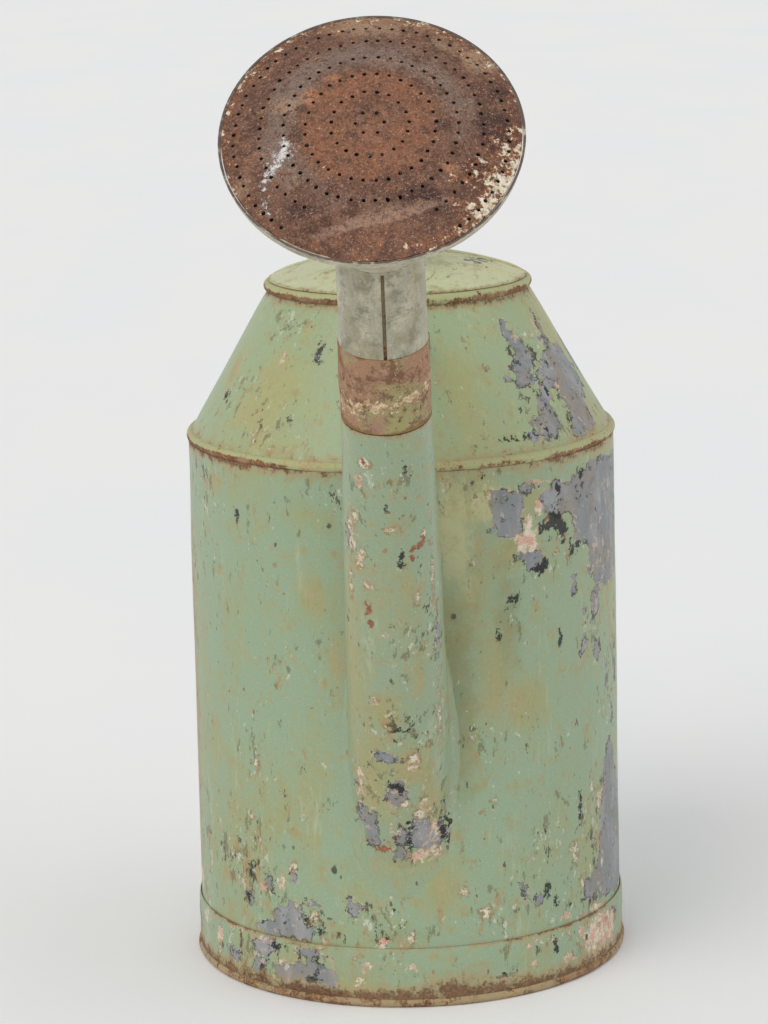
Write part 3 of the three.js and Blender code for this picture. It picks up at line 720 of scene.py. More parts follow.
def trimmed(grid):
    """The handle's lines of points, each cut off where it enters the hood or the wall."""
    n = len(grid)
    out = np.empty_like(grid)
    for c in range(grid.shape[1]):
        x, y, z = grid[:, c, 0], grid[:, c, 1] - AXIS_Y, grid[:, c, 2]
        over_hood = z - hood_height(x, np.clip(y, -HOOD_R, HOOD_R)) - HANDLE_LIFT
        off_wall = np.hypot(x, y) - wall_radius(z) - HANDLE_LIFT
        first = np.argmax(over_hood > 0)
        start = first - over_hood[first] / (over_hood[first] - over_hood[first - 1])
        late = n - np.argmax(off_wall[::-1] > 0)
        end = late - off_wall[late] / (off_wall[late] - off_wall[late - 1])
        for k in range(3):
            out[:, c, k] = np.interp(np.linspace(start, end, n), np.arange(n), grid[:, c, k])
    return out


def make_handle(material, front_material):
    """The hoop handle, and the two plates that carry its ends."""
    line = smooth_line(handle_points(), 24)
    line = np.stack([np.zeros(len(line)), line[:, 0] + AXIS_Y, line[:, 1]], -1)
    outer, inner = (trimmed(swept(line, HANDLE_R - deep, 64, closed=False)) for deep in (0, HANDLE_SHEET))
    dents = np.clip(rough(outer, 0.03, 0.5 * MM, 101), -0.6 * MM, 0.1 * MM)
    tube = sheet_solid("handle", pushed(outer, outer.mean(1)[:, None], dents), inner)
    put(tube, material, "can", "handle_paint", "handle_tube")

    a = turns(96)
    r = np.concatenate([np.linspace(12.9, 16.0, 8), np.linspace(16.6, 18.6, 4), [19.0, 19.2]])[:, None] * MM
    rise = 2.6 * MM * np.exp(-(((r - r[0]) / (1.5 * MM)) ** 1.3)) + 1.0 * MM
    rise[-2:] = [[0.9 * MM], [0.5 * MM]]
    x, y = r * np.sin(a), HANDLE_FRONT + 1 * MM + r * np.cos(a)
    top, bottom = (np.stack([x, y + AXIS_Y, hood_height(x, y) + GAP + up], -1) for up in (rise, 0))
    plate = sheet_solid("handle_foot_front", top, bottom)
    put(plate, front_material, "can", "handle_paint", "handle_front_plate")

    rear_low, rear_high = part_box("handle_rear_plate")
    z = (rear_low.z + rear_high.z) / 2 + r * np.cos(a)
    wall = wall_radius(z) + GAP
    top, bottom = (np.stack([x, AXIS_Y + np.sqrt((wall + up) ** 2 - x**2), z], -1) for up in (rise, 0))
    put(sheet_solid("handle_foot_rear", top, bottom), material, "can", "handle_paint", "handle_rear_plate")


# ------------------------------------------------------------------ wear, marked on the meshes


def outline(u, v, corners):
    """Signed distance of points (u, v) inside an outline of corners: positive inside."""
    c = np.array(corners, float)
    best = np.full(u.shape, 1e9)
    inside = np.zeros(u.shape, bool)
    for (x0, y0), (x1, y1) in zip(c, np.roll(c, -1, 0)):
        dx, dy = x1 - x0, y1 - y0
        t = np.clip(((u - x0) * dx + (v - y0) * dy) / (dx * dx + dy * dy + 1e-9), 0, 1)
        best = np.minimum(best, np.hypot(u - x0 - t * dx, v - y0 - t * dy))
        if y0 != y1:
            inside ^= ((y0 > v) != (y1 > v)) & (u < x0 + (v - y0) * dx / dy)
    return np.where(inside, best, -best)


def spots(u, v, places):
    """Signed distance inside ellipses (centre u, centre v, half width, half height)."""
    best = np.full(u.shape, -50.0)
    for x, y, a, b in places:
        best = np.maximum(best, (1 - np.hypot((u - x) / a, (v - y) / b)) * min(a, b))
    return best


FAR = 8.0  # mm: no mark reaches further than this outside its outline


def mark(piece, **fields):
    """Gives each vertex a number for the material to read, from a function of the vertices' places."""
    co = np.zeros(len(piece.data.vertices) * 3, np.float32)
    piece.data.vertices.foreach_get("co", co)
    co = co.reshape(-1, 3).astype(float)
    for name, field in fields.items():
        made = piece.data.attributes.new(name, "FLOAT", "POINT")
        made.data.foreach_set("value", np.clip(field(co), 0, 2 * FAR).astype(np.float32))


def outlined(piece, **fields):
    """Marks signed distances in mm, positive inside. A piece without the mark reads as far outside."""
    mark(piece, **{name: lambda co, field=field: field(co) + FAR for name, field in fields.items()})


def unrolled(co):
    """Each point's angle round the can in degrees, from the front towards +X, and its height in mm."""
    return np.degrees(np.arctan2(co[:, 0], AXIS_Y - co[:, 1])), co[:, 2] / MM


def on_can(places=(), outlines=()):
    """A field over the can from spots and outlines given in degrees and mm."""

    def field(co):
        angle, z = unrolled(co)
        wide = math.pi / 180 * np.hypot(co[:, 0], co[:, 1] - AXIS_Y).mean() / MM
        best = spots(angle * wide, z, [(a * wide, h, r, t) for a, h, r, t in places])
        for corners in outlines:
            best = np.maximum(best, outline(angle * wide, z, [(a * wide, h) for a, h in corners]))
        return best

    return field


def soft(field, depth, most=2 * FAR):
    """A field that rises to 1 at depth mm inside its spots, and no further than most."""
    return lambda co: np.minimum(field(co) / depth, most)


# Places where the paint has gone: corners in degrees round the can from the front, and mm of height.
WALL_BARE = [
    [(24, 248), (27, 249), (30, 251), (33, 249), (35, 245), (35, 238), (36, 234), (34, 229), (31, 227),
     (26, 232), (25, 241)],
    [(33, 218), (36, 220), (40, 220), (43, 214), (41, 208), (38, 209), (35, 215)],
    [(40, 245), (44, 248), (47, 251), (52, 248), (55, 253), (63, 256), (84, 252), (83, 220), (82, 190),
     (69, 192), (62, 196), (60, 215), (54, 221), (53, 233), (46, 234), (42, 237)],
    [(73, 117), (78, 98), (83, 83), (87, 57), (92, 33), (77, 31), (55, 38), (57, 46), (64, 54), (65, 69),
     (67, 86), (68, 103)],
    [(-43, 33), (-38, 37), (-36, 45), (-33, 44), (-32, 37), (-31, 47), (-27, 45), (-25, 37), (-25, 29),
     (-38, 28)],
    [(60, 190), (66, 192), (66, 180), (62, 178)],
    [(150, 236), (158, 238), (166, 224), (162, 207), (153, 214)],
    [(-128, 70), (-118, 76), (-112, 58), (-122, 44), (-131, 52)],
    [(188, 90), (202, 96), (208, 74), (199, 60), (186, 71)],
]
WALL_BARE_SPOTS = [
    (57, 166, 1.6, 5), (64, 161, 2.6, 6), (71, 141, 1.6, 6), (75, 129, 1.2, 5), (58, 183, 2, 3),
    (53, 199, 1.6, 3), (80, 150, 2, 14), (-46, 46, 3, 4.5), (-25, 50, 3, 2), (-21, 43, 3.5, 2.4),
    (-13, 49, 3, 3), (36, 250, 4, 1.6), (34, 53, 2.5, 5), (38, 47, 3, 2.5), (-38, 55, 3, 4), (-29, 61, 2, 3),
    (70, 60, 6, 12), (-140, 210, 5, 7), (-96, 245, 4, 6), (120, 120, 4, 9), (110, 30, 9, 5), (178, 40, 5, 9),
]
WALL_BLACK = [
    [(39, 236), (41, 232), (44, 237), (48, 234), (51, 226), (48, 221), (46, 229), (40, 226), (41, 230)],
    [(37, 211), (41, 213), (42, 216), (43, 212), (41, 207), (38, 208)],
]
WALL_BLACK_SPOTS = [
    (-47, 236, 1.6, 3.4), (-46, 46, 2, 3), (-22, 36, 2.2, 1.6), (-25, 41, 3, 1.2), (49, 220, 1.6, 1.2),
    (27, 181, 1.2, 2.6), (32, 197, 2.6, 1.3), (55, 217, 2, 2), (52, 219, 1.6, 1.6), (47, 173, 1, 2.6),
    (44, 42, 1.6, 2), (50, 38, 1.8, 1.6), (41, 50, 1.4, 3), (55, 217, 3, 2), (52, 215, 1.2, 3),
    (47, 246, 1.5, 3), (-160, 150, 3, 2), (100, 200, 2, 4), (54, 88, 0.9, 6), (-43, 63, 3, 1),
    (57, 251, 1.8, 2.4),
]
WALL_PINK = [
    [(35, 243), (38, 236), (39, 230), (40, 222), (37, 219), (33, 221), (32, 227), (35, 230), (36, 234)],
    [(39, 244), (41, 243), (42, 237), (41, 234), (39, 238)],
    [(52, 29), (61, 33), (70, 30), (72, 1), (56, 6)],
]
WALL_PINK_SPOTS = [
    (-5, 32, 2.6, 1.8), (2, 34, 2.9, 2.2), (40, 252, 4, 1.2), (-40, 54, 2.6, 2), (-34, 57, 2.5, 3.5),
    (-78, 40, 3, 8), (-10, 16, 3, 2.5), (-8, 24, 2.4, 1.6), (48, 34, 3, 2), (66, 52, 1.5, 2),
    (-100, 60, 4, 5), (140, 90, 4, 6), (95, 24, 7, 6), (170, 250, 7, 2),
]
WALL_PALE_SPOTS = [
    (22, 44, 3, 3.4), (52, 64, 2.6, 5), (55, 46, 2, 3), (64, 84, 1.6, 8), (-30, 66, 3, 3),
    (-24, 42, 2.6, 3.4), (50, 66, 2.4, 2.2), (19, 69, 1.6, 1.6), (16, 57, 2, 2.6), (55, 52, 2, 1.8),
    (60, 95, 1.6, 4.4), (66, 86, 1.4, 4), (25, 246, 1, 4), (-44, 88, 1.4, 2.2), (-42, 114, 1.6, 2.6),
    (22, 95, 1.4, 1.8), (25, 101, 1.2, 1.4), (-21, 30, 1.3, 3.4), (43, 233, 1.1, 2), (46, 216, 1.3, 1.8),
    (48, 26, 2, 2.6), (-150, 190, 2, 3),
]
WALL_WORN = [
    (-60, 250, 34, 20), (-20, 250, 24, 12), (-55, 60, 44, 42), (50, 60, 34, 46), (72, 190, 22, 80),
    (-80, 130, 8, 120), (0, 42, 34, 16), (150, 60, 60, 50), (-140, 200, 50, 60),
]
BAND_WORN = [(-50, 14, 60, 20), (50, 14, 50, 20), (180, 14, 160, 12)]
PIPE_WORN = [(-45, 120, 12, 50), (20, 120, 14, 30), (0, -20, 30, 40), (60, 60, 8, 90), (-30, 0, 16, 40)]
# Painted light: wall spots made paler, as a pool of light right of the spout's top.
WALL_PAINTED_LIGHT = [(15, 230, 13, 36), (26, 245, 18, 13), (18, 206, 8, 14)]
# Painted shade: darker olive bands along the spout's sides and just under its foot.
WALL_PAINTED_SHADE = [(15, 150, 16, 84), (30, 190, 12, 50), (-13, 100, 5, 60), (0, 36, 20, 8)]
WALL_BROWN = [(-86, 130, 26, 150), (-24, 258, 22, 5)]
WALL_TAN_SPOTS = [
    (-86, 130, 10, 135), (-22, 200, 17, 20), (-16, 168, 11, 30), (-13, 118, 5, 22), (-14, 100, 5, 16),
    (-24, 80, 6, 8), (20, 199, 10, 28), (20, 248, 16, 14), (34, 244, 22, 10), (19, 125, 10, 44),
    (27, 160, 16, 40), (34, 147, 18, 20), (-86, 150, 17, 110), (-76, 210, 6, 50), (-24, 240, 22, 10),
    (-56, 250, 18, 8), (30, 218, 12, 12), (10, 60, 14, 22), (-12, 55, 10, 10), (0, 12, 60, 9),
    (-55, 25, 8, 20), (35, 16, 30, 7), (-110, 130, 16, 60), (150, 140, 22, 70), (100, 90, 20, 50),
    (-165, 60, 30, 30),
]
CONE_BARE = [
    [(44, 325), (47, 324), (48, 319), (53, 316), (53, 312), (54, 306), (51, 302), (49, 292), (46, 294),
     (41, 296), (40, 299), (43, 299), (44, 304), (46, 310), (45, 318)],
    [(58, 305), (70, 309), (78, 306), (82, 297), (80, 286), (73, 283), (73, 278), (73, 270), (68, 267),
     (60, 267), (57, 270), (59, 274), (60, 281), (59, 286), (60, 291), (57, 291), (53, 285), (52, 279),
     (53, 274), (52, 271), (46, 269), (43, 275), (42, 279), (47, 282), (48, 290), (51, 293), (54, 299)],
    [(172, 330), (184, 322), (190, 300), (181, 288), (174, 300)],
    [(-128, 290), (-119, 296), (-113, 282), (-121, 272)],
]
CONE_BARE_SPOTS = [
    (41, 273, 2.6, 2.2), (43, 290, 1.6, 1.8), (69, 318, 2, 5), (68, 312, 4, 3), (-65, 288, 3, 2.4),
    (-28, 313, 1.6, 3), (90, 300, 5, 8), (130, 276, 6, 3),
]
CONE_BLACK_SPOTS = [
    (45, 310, 1.5, 2.2), (56, 308, 1.8, 3), (47, 276, 1.2, 2.6), (58, 274, 1, 3), (-28, 313, 0.9, 2.4),
    (-25, 315, 2, 0.6), (33, 273, 3, 0.6), (38, 273, 3, 0.6), (-66, 288, 1.8, 1.8), (61, 303, 1, 2),
    (41, 285, 0.9, 0.9), (66, 300, 0.8, 1.6), (54, 292, 0.8, 2),
]
CONE_PINK_SPOTS = [
    (53, 316, 4, 0.6), (58, 316, 5, 0.6), (66, 320, 1.4, 3), (-43, 308, 1, 1.6), (60, 290, 1.4, 3),
]
CONE_TAN_SPOTS = [
    (-43, 300, 14, 20), (-35, 322, 12, 8), (-50, 284, 16, 12), (20, 300, 12, 26), (40, 322, 16, 8),
    (-70, 300, 12, 20), (-30, 272, 22, 6), (120, 300, 20, 18), (-150, 290, 20, 20),
]
CONE_PALE_SPOTS = [(33, 305, 1, 1), (-36, 270, 1.4, 1), (26, 276, 0.9, 0.9), (28, 318, 1, 0.8)]
BAND_BARE = [
    [(-37, 16), (-30, 19), (-23, 20), (-18, 18), (-17, 8), (-19, 4), (-29, 5), (-37, 10)],
    [(-45, 26), (-37, 28), (-36, 20), (-44, 19)],
    [(120, 22), (131, 24), (136, 9), (126, 5)],
]
BAND_BARE_SPOTS = [
    (-41, 11, 4, 5), (-52, 14, 5, 4), (-25, 25, 6, 1.5), (70, 22, 8, 4), (-80, 16, 6, 8), (30, 10, 4, 1.6),
    (-160, 12, 10, 5),
]
BAND_BLACK_SPOTS = [
    (-41, 10, 2.4, 4), (-19, 6, 4, 3), (-24, 11, 3, 2), (-36, 25, 3, 0.9), (-48, 9, 1.6, 3),
    (55, 20, 1.2, 3), (25, 12, 4, 0.8), (43, 22, 1, 4), (150, 10, 3, 3),
]
BAND_PINK = [
    [(52, 24), (62, 28), (72, 26), (72, 4), (58, 5)],
]
BAND_PINK_SPOTS = [
    (-40, 27, 5, 1.6), (-10, 20, 3, 2.4), (-12, 12, 2.4, 2.2), (2, 20, 2.4, 1.4), (40, 25, 8, 1),
    (-50, 28, 6, 1.2), (-33, 17, 3, 2), (48, 12, 4, 3), (-70, 24, 5, 3), (-60, 20, 3, 5), (90, 18, 6, 5),
    (36, 15, 2, 1.6),
]
# Painted highlight: a pale line along the top edge of the band's lapped end.
BAND_PAINTED_HIGHLIGHT = [
    [(-31, 29.2), (-17.2, 29.0), (-17.2, 27.6), (-24, 28.2), (-33, 28.6)],
]
BAND_PALE_SPOTS = [(-12, 25, 1.4, 1), (14, 22, 1, 1.4), (-60, 12, 1.5, 3), (48, 24, 1.6, 2)]
BAND_TAN_SPOTS = [
    (0, 3, 60, 6), (-12, 8, 16, 6), (30, 6, 20, 6), (60, 8, 14, 6), (-55, 5, 30, 5), (12, 14, 12, 5),
    (100, 6, 60, 5), (180, 6, 90, 5), (-110, 6, 60, 5),
]


def along_spout(co):
    """Each point's angle round the spout from its front, and its place along it in mm."""
    d = co - CROSS
    s = d @ SPOUT_DIR
    out = d - s[:, None] * SPOUT_DIR
    return np.arctan2(out[:, 0], -(out @ SPOUT_BACK)), (s + CROSS_AT) / MM


def on_pipe(places):
    """A field over the spout from spots at (degrees round it, mm along it, half width mm, half length mm)."""
    width = 22  # mm, about the spout's radius

    def field(co):
        a, s = along_spout(co)
        return spots(a * width, s, [(math.radians(a) * width, h, r, t) for a, h, r, t in places])

    return field


PIPE_BARE = [
    (-3, -19, 4, 6), (-10, 2, 6, 3), (30, -47, 9, 8), (1, -45, 2.4, 9), (-33, -42, 4, 9), (-50, -27, 2, 8),
    (20, -38, 5, 5), (-60, 120, 2, 7), (60, 60, 1.6, 8), (120, 80, 7, 10), (-130, 40, 8, 12),
    (170, 120, 6, 9),
]
PIPE_PINK = [
    (-37, 152, 2.4, 3.4), (-39, 111, 2.6, 4.6), (26, -56, 7, 3.4), (-28, 97, 3, 1.6), (40, -44, 3, 6),
    (-7, 70, 1.5, 1.3), (-24, 33, 2.8, 3), (18, -3, 2.6, 4), (30, -28, 3, 4), (-48, -20, 1.6, 9),
    (150, 20, 5, 6), (-5, -40, 2, 1.6),
]
PIPE_CREAM = [
    (-52, 118, 2.6, 6), (-46, 132, 2, 4), (-36, 113, 2.4, 3), (-58, 95, 1.4, 8), (58, 100, 1, 12),
    (56, 20, 1, 10), (-29, 162, 3.2, 3.2), (-56, 126, 2, 4), (-40, 106, 2.6, 2.6), (-27, 96, 2.6, 1.8),
    (-24, 34, 2.2, 2.4), (18, 0, 2.4, 3.6), (6, -24, 2, 2), (22, -32, 3, 3), (-12, 20, 1, 1.6),
    (-38, 150, 1.2, 2.4), (46, 122, 1.8, 2.2), (4, 128, 3, 1.3), (32, 90, 1.4, 3), (-110, 100, 4, 4),
    (36, -55, 4, 3),
]
PIPE_RUST = [
    (39, 117, 3.8, 1.8), (44, 119, 1.8, 2.6), (-29, 84, 1.5, 4.4), (-26, 76, 1.8, 2.2), (28, 112, 1.3, 1.6),
    (22, 143, 1, 1.2), (-31, 163, 1.2, 1.5), (-8, -30, 1.6, 1.2), (-20, -52, 3, 2), (130, 140, 3, 6),
]
PIPE_BLACK = [
    (50, -46, 1.1, 6.5), (56, -38, 0.9, 5), (14, 113, 0.8, 2.2), (16, 135, 1, 0.8), (3, -17, 1.2, 3),
    (-8, -14, 2, 1.2), (14, 108, 1.2, 1), (10, -44, 0.8, 6), (-4, 139, 0.6, 1.6), (24, 158, 0.7, 1.6),
    (2, 18, 4, 0.8),
]
PIPE_TAN = [
    (-60, 165, 4, 12), (-55, 125, 5, 30), (-62, 80, 5, 40), (20, 100, 5, 22), (30, 45, 6, 20),
    (-10, 30, 9, 14), (-30, -10, 12, 30), (15, -5, 14, 16), (35, -25, 10, 20), (-55, 40, 6, 40),
    (10, -60, 20, 8), (-20, 145, 3, 10), (150, 60, 14, 60),
]


def marked_wall(piece):
    """Chips, stains, painted light and painted shade beside the spout, and, under the shoulder's bead and
    over the band, rust.
    """

    def rust(co):
        angle, z = unrolled(co)
        strength = 0.55 + 0.5 * bell(angle, -50, 32) + 0.35 * bell(angle, 55, 22) + 0.3 * (abs(angle) > 95)
        return strength * (bell(z, WALL_TOP / MM + 1, 4) + 0.5 * bell(z, band_high.z / MM, 1.6))

    outlined(piece, bare=on_can(WALL_BARE_SPOTS, WALL_BARE), black=on_can(WALL_BLACK_SPOTS, WALL_BLACK))
    outlined(piece, pink=on_can(WALL_PINK_SPOTS, WALL_PINK), pale=on_can(WALL_PALE_SPOTS))
    # Painted light and painted shade, marked beside the spout.
    mark(piece, light=soft(on_can(WALL_PAINTED_LIGHT), 6), painted_shade=soft(on_can(WALL_PAINTED_SHADE), 12, 1.2))
    mark(piece, brown=soft(on_can(WALL_BROWN), 12), tan=soft(on_can(WALL_TAN_SPOTS), 8))
    mark(piece, worn=soft(on_can(WALL_WORN), 8, 1), rust=rust)


def marked_cone(piece):
    def rust(co):
        return 0.45 * bell(co[:, 2], cone_low.z, 3.5 * MM) + 0.75 * bell(co[:, 2], cone_high.z, 2.6 * MM)

    outlined(piece, bare=on_can(CONE_BARE_SPOTS, CONE_BARE), black=on_can(CONE_BLACK_SPOTS))
    outlined(piece, pink=on_can(CONE_PINK_SPOTS), pale=on_can(CONE_PALE_SPOTS))
    mark(piece, tan=soft(on_can(CONE_TAN_SPOTS), 8), rust=rust)


def marked_band(piece):
    def rust(co):
        angle, z = unrolled(co)
        top = 0.35 + 0.6 * bell(angle, -55, 20) + 0.6 * bell(angle, 45, 22)
        return 0.98 * bell(z, 4, 7 + 4 * bell(angle, 12, 16)) + top * bell(z, band_high.z / MM, 1.3)

    outlined(piece, bare=on_can(BAND_BARE_SPOTS, BAND_BARE), black=on_can(BAND_BLACK_SPOTS))
    # The pale outline is a painted highlight on the lap's top edge; the pale spots are pale chips.
    outlined(piece, pink=on_can(BAND_PINK_SPOTS, BAND_PINK), pale=on_can(BAND_PALE_SPOTS, BAND_PAINTED_HIGHLIGHT))
    mark(piece, tan=soft(on_can(BAND_TAN_SPOTS), 4), worn=soft(on_can(BAND_WORN), 8, 1), rust=rust)


def marked_hood(piece):
    def rust(co):
        r = np.hypot(co[:, 0], co[:, 1] - AXIS_Y)
        return 0.5 * bell(r, HOOD_R, 1.6 * MM) + 0.55 * bell(co[:, 1], HOOD_BACK, 2 * MM)

    mark(piece, rust=rust)
    outlined(piece, black=on_can([(86, 347, 4, 0.4), (74, 348, 3, 0.3)]))


def marked_pipe(piece):
    def rust(co):
        return 0.7 * bell((co - CROSS) @ SPOUT_DIR + CROSS_AT, SPOUT_LENGTH, 2 * MM)

    outlined(piece, bare=on_pipe(PIPE_BARE), black=on_pipe(PIPE_BLACK), pink=on_pipe(PIPE_PINK))
    outlined(piece, pale=on_pipe(PIPE_CREAM), chip=on_pipe(PIPE_RUST))
    mark(piece, tan=soft(on_pipe(PIPE_TAN), 5), worn=soft(on_pipe(PIPE_WORN), 6, 1), rust=rust)


# ------------------------------------------------------------------ materials


def rgb(r, g, b):
    """A colour from sRGB numbers, 0 to 255."""
    return [((c / 255 + 0.055) / 1.055) ** 2.4 if c > 10 else c / 255 / 12.92 for c in (r, g, b)] + [1.0]


class Field:
    """A number or colour that varies over a surface: one socket of a material's nodes."""

    def __init__(self, look, socket):
        self.look, self.socket = look, socket

    def __add__(self, other):
        return self.look.math("ADD", self, other)

    def __sub__(self, other):
        return self.look.math("SUBTRACT", self, other)

    def __mul__(self, other):
        return self.look.math("MULTIPLY", self, other)

    def most(self, other):
        return self.look.math("MAXIMUM", self, other)

    def swing(self, by):
        """A noise as a number from about -by / 2 to by / 2."""
        return (self - 0.5) * by

    def rise(self, low, high):
        """0 below low, 1 above high and smooth between them. With low above high it falls."""
        up = low < high
        span = {"From Min": min(low, high), "From Max": max(low, high), "To Min": 0.0 if up else 1.0}
        node = self.look.new("MapRange", {"Value": self, **span, "To Max": 1.0 if up else 0.0})
        node.interpolation_type = "SMOOTHSTEP"
        return Field(self.look, node.outputs["Result"])


class Look:
    """One procedural material. Textures are laid out in the part's own frame."""

    def __init__(self, name, roughness=0.6, metallic=0.0, shine=0.5):
        self.material = bpy.data.materials.new(name)
        self.material.use_nodes = True
        self.tree = self.material.node_tree
        self.tree.nodes.clear()
        base = {"Roughness": roughness, "Metallic": metallic, "Specular IOR Level": shine}
        self.shader = self.new("BsdfPrincipled", base)
        self.new("OutputMaterial", {"Surface": self.shader.outputs[0]})
        self.place = self.new("TexCoord").outputs["Object"]
        self.draws = 0
        self.color = None

    def new(self, kind, inputs=None):
        """A shader node, with a value or a link in each of the inputs named."""
        node = self.tree.nodes.new("ShaderNode" + kind)
        for name, value in (inputs or {}).items():
            self.join(value, node.inputs[name])
        return node

    def join(self, value, socket):
        if isinstance(value, Field):
            value = value.socket
        if isinstance(value, bpy.types.NodeSocket):
            self.tree.links.new(value, socket)
        else:
            socket.default_value = value

    def math(self, operation, a, b):
        node = self.new("Math", {0: a, 1: b})
        node.operation = operation
        return Field(self, node.outputs[0])

    def laid(self, size, stretch):
        """Texture coordinates: one unit is size mm, and stretch lengthens the pattern along x, y, z."""
        self.draws += 1
        shift = (3.7 * self.draws, 1.9 * self.draws, 5.3 * self.draws)
        scale = [1000 / size / s for s in stretch]
        return self.new("Mapping", {"Vector": self.place, "Location": shift, "Scale": scale}).outputs[0]

    def noise(self, size, detail=4, stretch=(1, 1, 1), rough=0.55):
        settings = {"Scale": 1, "Detail": detail, "Roughness": rough}
        node = self.new("TexNoise", {"Vector": self.laid(size, stretch), **settings})
        return Field(self, node.outputs[0])

    def specks(self, size, share, radius=0.3, stretch=(1, 1, 1)):
        """Scattered round marks: one in each cell of size mm, in that share of the cells."""
        node = self.new("TexVoronoi", {"Vector": self.laid(size, stretch), "Scale": 1})
        pick = self.new("SeparateColor", {0: node.outputs["Color"]})
        chosen = Field(self, pick.outputs[0]).rise(share + 0.01, share)
        big = Field(self, pick.outputs[1]) * radius * 0.7 + radius * 0.3
        near = big - Field(self, node.outputs["Distance"]) + self.noise(size * 0.35, 3).swing(0.35)
        return near.rise(-0.02, 0.05) * chosen

    def flecks(self, size, level, zone=0.0, stretch=(1, 1, 1)):
        """Ragged chips a few tenths of size mm across. The higher the level, the fewer."""
        return (self.noise(size, 6, stretch, 0.72) + zone - level).rise(0.0, 0.03)

    def mark(self, name):
        node = self.new("Attribute")
        node.attribute_name = name
        return Field(self, node.outputs["Fac"])

    def inside(self, name):
        """How far inside a marked outline, in mm."""
        return self.mark(name) - FAR

    def mix(self, a, b, share):
        """The colour a, with b over it in that share. A colour may be sRGB numbers from 0 to 255."""
        a, b = (rgb(*tone) if isinstance(tone, tuple) else tone for tone in (a, b))
        node = self.tree.nodes.new("ShaderNodeMix")
        node.data_type = "RGBA"
        for index, value in {0: share, 6: a, 7: b}.items():
            self.join(value, node.inputs[index])
        return Field(self, node.outputs[2])

    def coat(self, tone, share):
        """Lays a tone over the colour so far."""
        self.color = self.mix(self.color, tone, share)

    def finish(self, height, roughness, metallic=None):
        """height is the surface's relief in mm."""
        bump = self.new("Bump", {"Distance": MM, "Height": height})
        self.join(self.color, self.shader.inputs["Base Color"])
        self.join(bump.outputs[0], self.shader.inputs["Normal"])
        self.join(roughness, self.shader.inputs["Roughness"])
        if metallic is not None:
            self.join(metallic, self.shader.inputs["Metallic"])
        return self.material


BLACK = (30, 30, 31)
ZINC = (138, 141, 142)
ZINC_PALE = (158, 158, 160)
PINK = (210, 164, 144)
CREAM = (220, 210, 186)
RUST = (132, 90, 64)
RUST_DARK = (90, 62, 46)
RUST_ORANGE = (176, 120, 82)
TAN = (174, 154, 112)


def painted_tones(m, green, olive, dark, pale):
    """The colour of the paint that is left: two greens, dirt, sun-bleached runs, stains, small specks, and
    painted light and painted shade where marked.
    """
    broad = m.noise(75, 3, stretch=(1, 1, 1.5))
    runs = m.noise(17, 6, stretch=(1, 1, 4.5), rough=0.62)
    cloud = m.noise(9, 6, rough=0.66)
    threads = m.noise(3.2, 5, stretch=(1, 1, 7), rough=0.7)
    share = broad.swing(2.6) + runs.swing(1.6) + cloud.swing(0.9) + m.mark("tan") * 0.45
    m.color = m.mix(green, olive, share.rise(-0.25, 0.65))
    m.coat(dark, (cloud.swing(2) + threads.swing(2.2)).rise(0.1, 0.9) * 0.55)
    m.coat(pale, (runs.swing(2.2) + threads.swing(2) + (m.noise(30, 3) - 0.5)).rise(0.2, 0.95) * 0.6)
    stain = m.mark("tan") * 0.32 + m.noise(15, 6, stretch=(1, 1, 2.6), rough=0.66).swing(2.4)
    stain = (stain + threads.swing(1.2)).rise(0.28, 0.95)
    m.coat(TAN, stain * 0.55)
    m.coat(dark, m.noise(0.9, 4, rough=0.75).rise(0.52, 0.7) * 0.4)
    m.coat(pale, m.noise(1.3, 4, rough=0.75).rise(0.56, 0.72) * 0.4)
    # Painted light: the marked wall patches are made paler.
    m.coat((188, 186, 140), (m.mark("light") + cloud.swing(4) + threads.swing(2)).rise(0.1, 1.4) * 0.85)
    # Painted shade: the marked wall patches are made a darker olive.
    m.coat((120, 126, 86), (m.mark("painted_shade") + cloud.swing(2)).rise(0.0, 1.2) * 0.5)
    m.coat((156, 134, 86), (m.mark("brown") + cloud.swing(3)).rise(0.1, 0.9) * 0.75)
    zone = m.noise(36, 4).swing(0.34) + m.mark("worn") * 0.05
    for tone, size, level, length, share in [
        ((166, 142, 100), 7, 0.63, 1.8, 0.75),
        ((112, 108, 76), 5, 0.62, 2.2, 0.7),
        ((198, 200, 180), 4, 0.65, 1.5, 0.8),
        ((70, 68, 50), 6, 0.665, 2.0, 0.9),
        ((46, 45, 40), 9, 0.69, 1.6, 0.95),
    ]:
        m.coat(tone, m.flecks(size, level, zone, (1, 1, length)) * share)
    for tone, size, portion, radius, stretch, share in [
        ((74, 72, 52), 4.6, 0.16, 0.15, (1, 1, 1.8), 0.75),
        ((56, 54, 44), 9, 0.25, 0.13, (1.3, 1.3, 2.0), 0.85),
        ((158, 116, 78), 8, 0.2, 0.16, (1, 1, 1.5), 0.7),
    ]:
        m.coat(tone, m.specks(size, portion, radius, stretch) * share)
    return cloud, stain


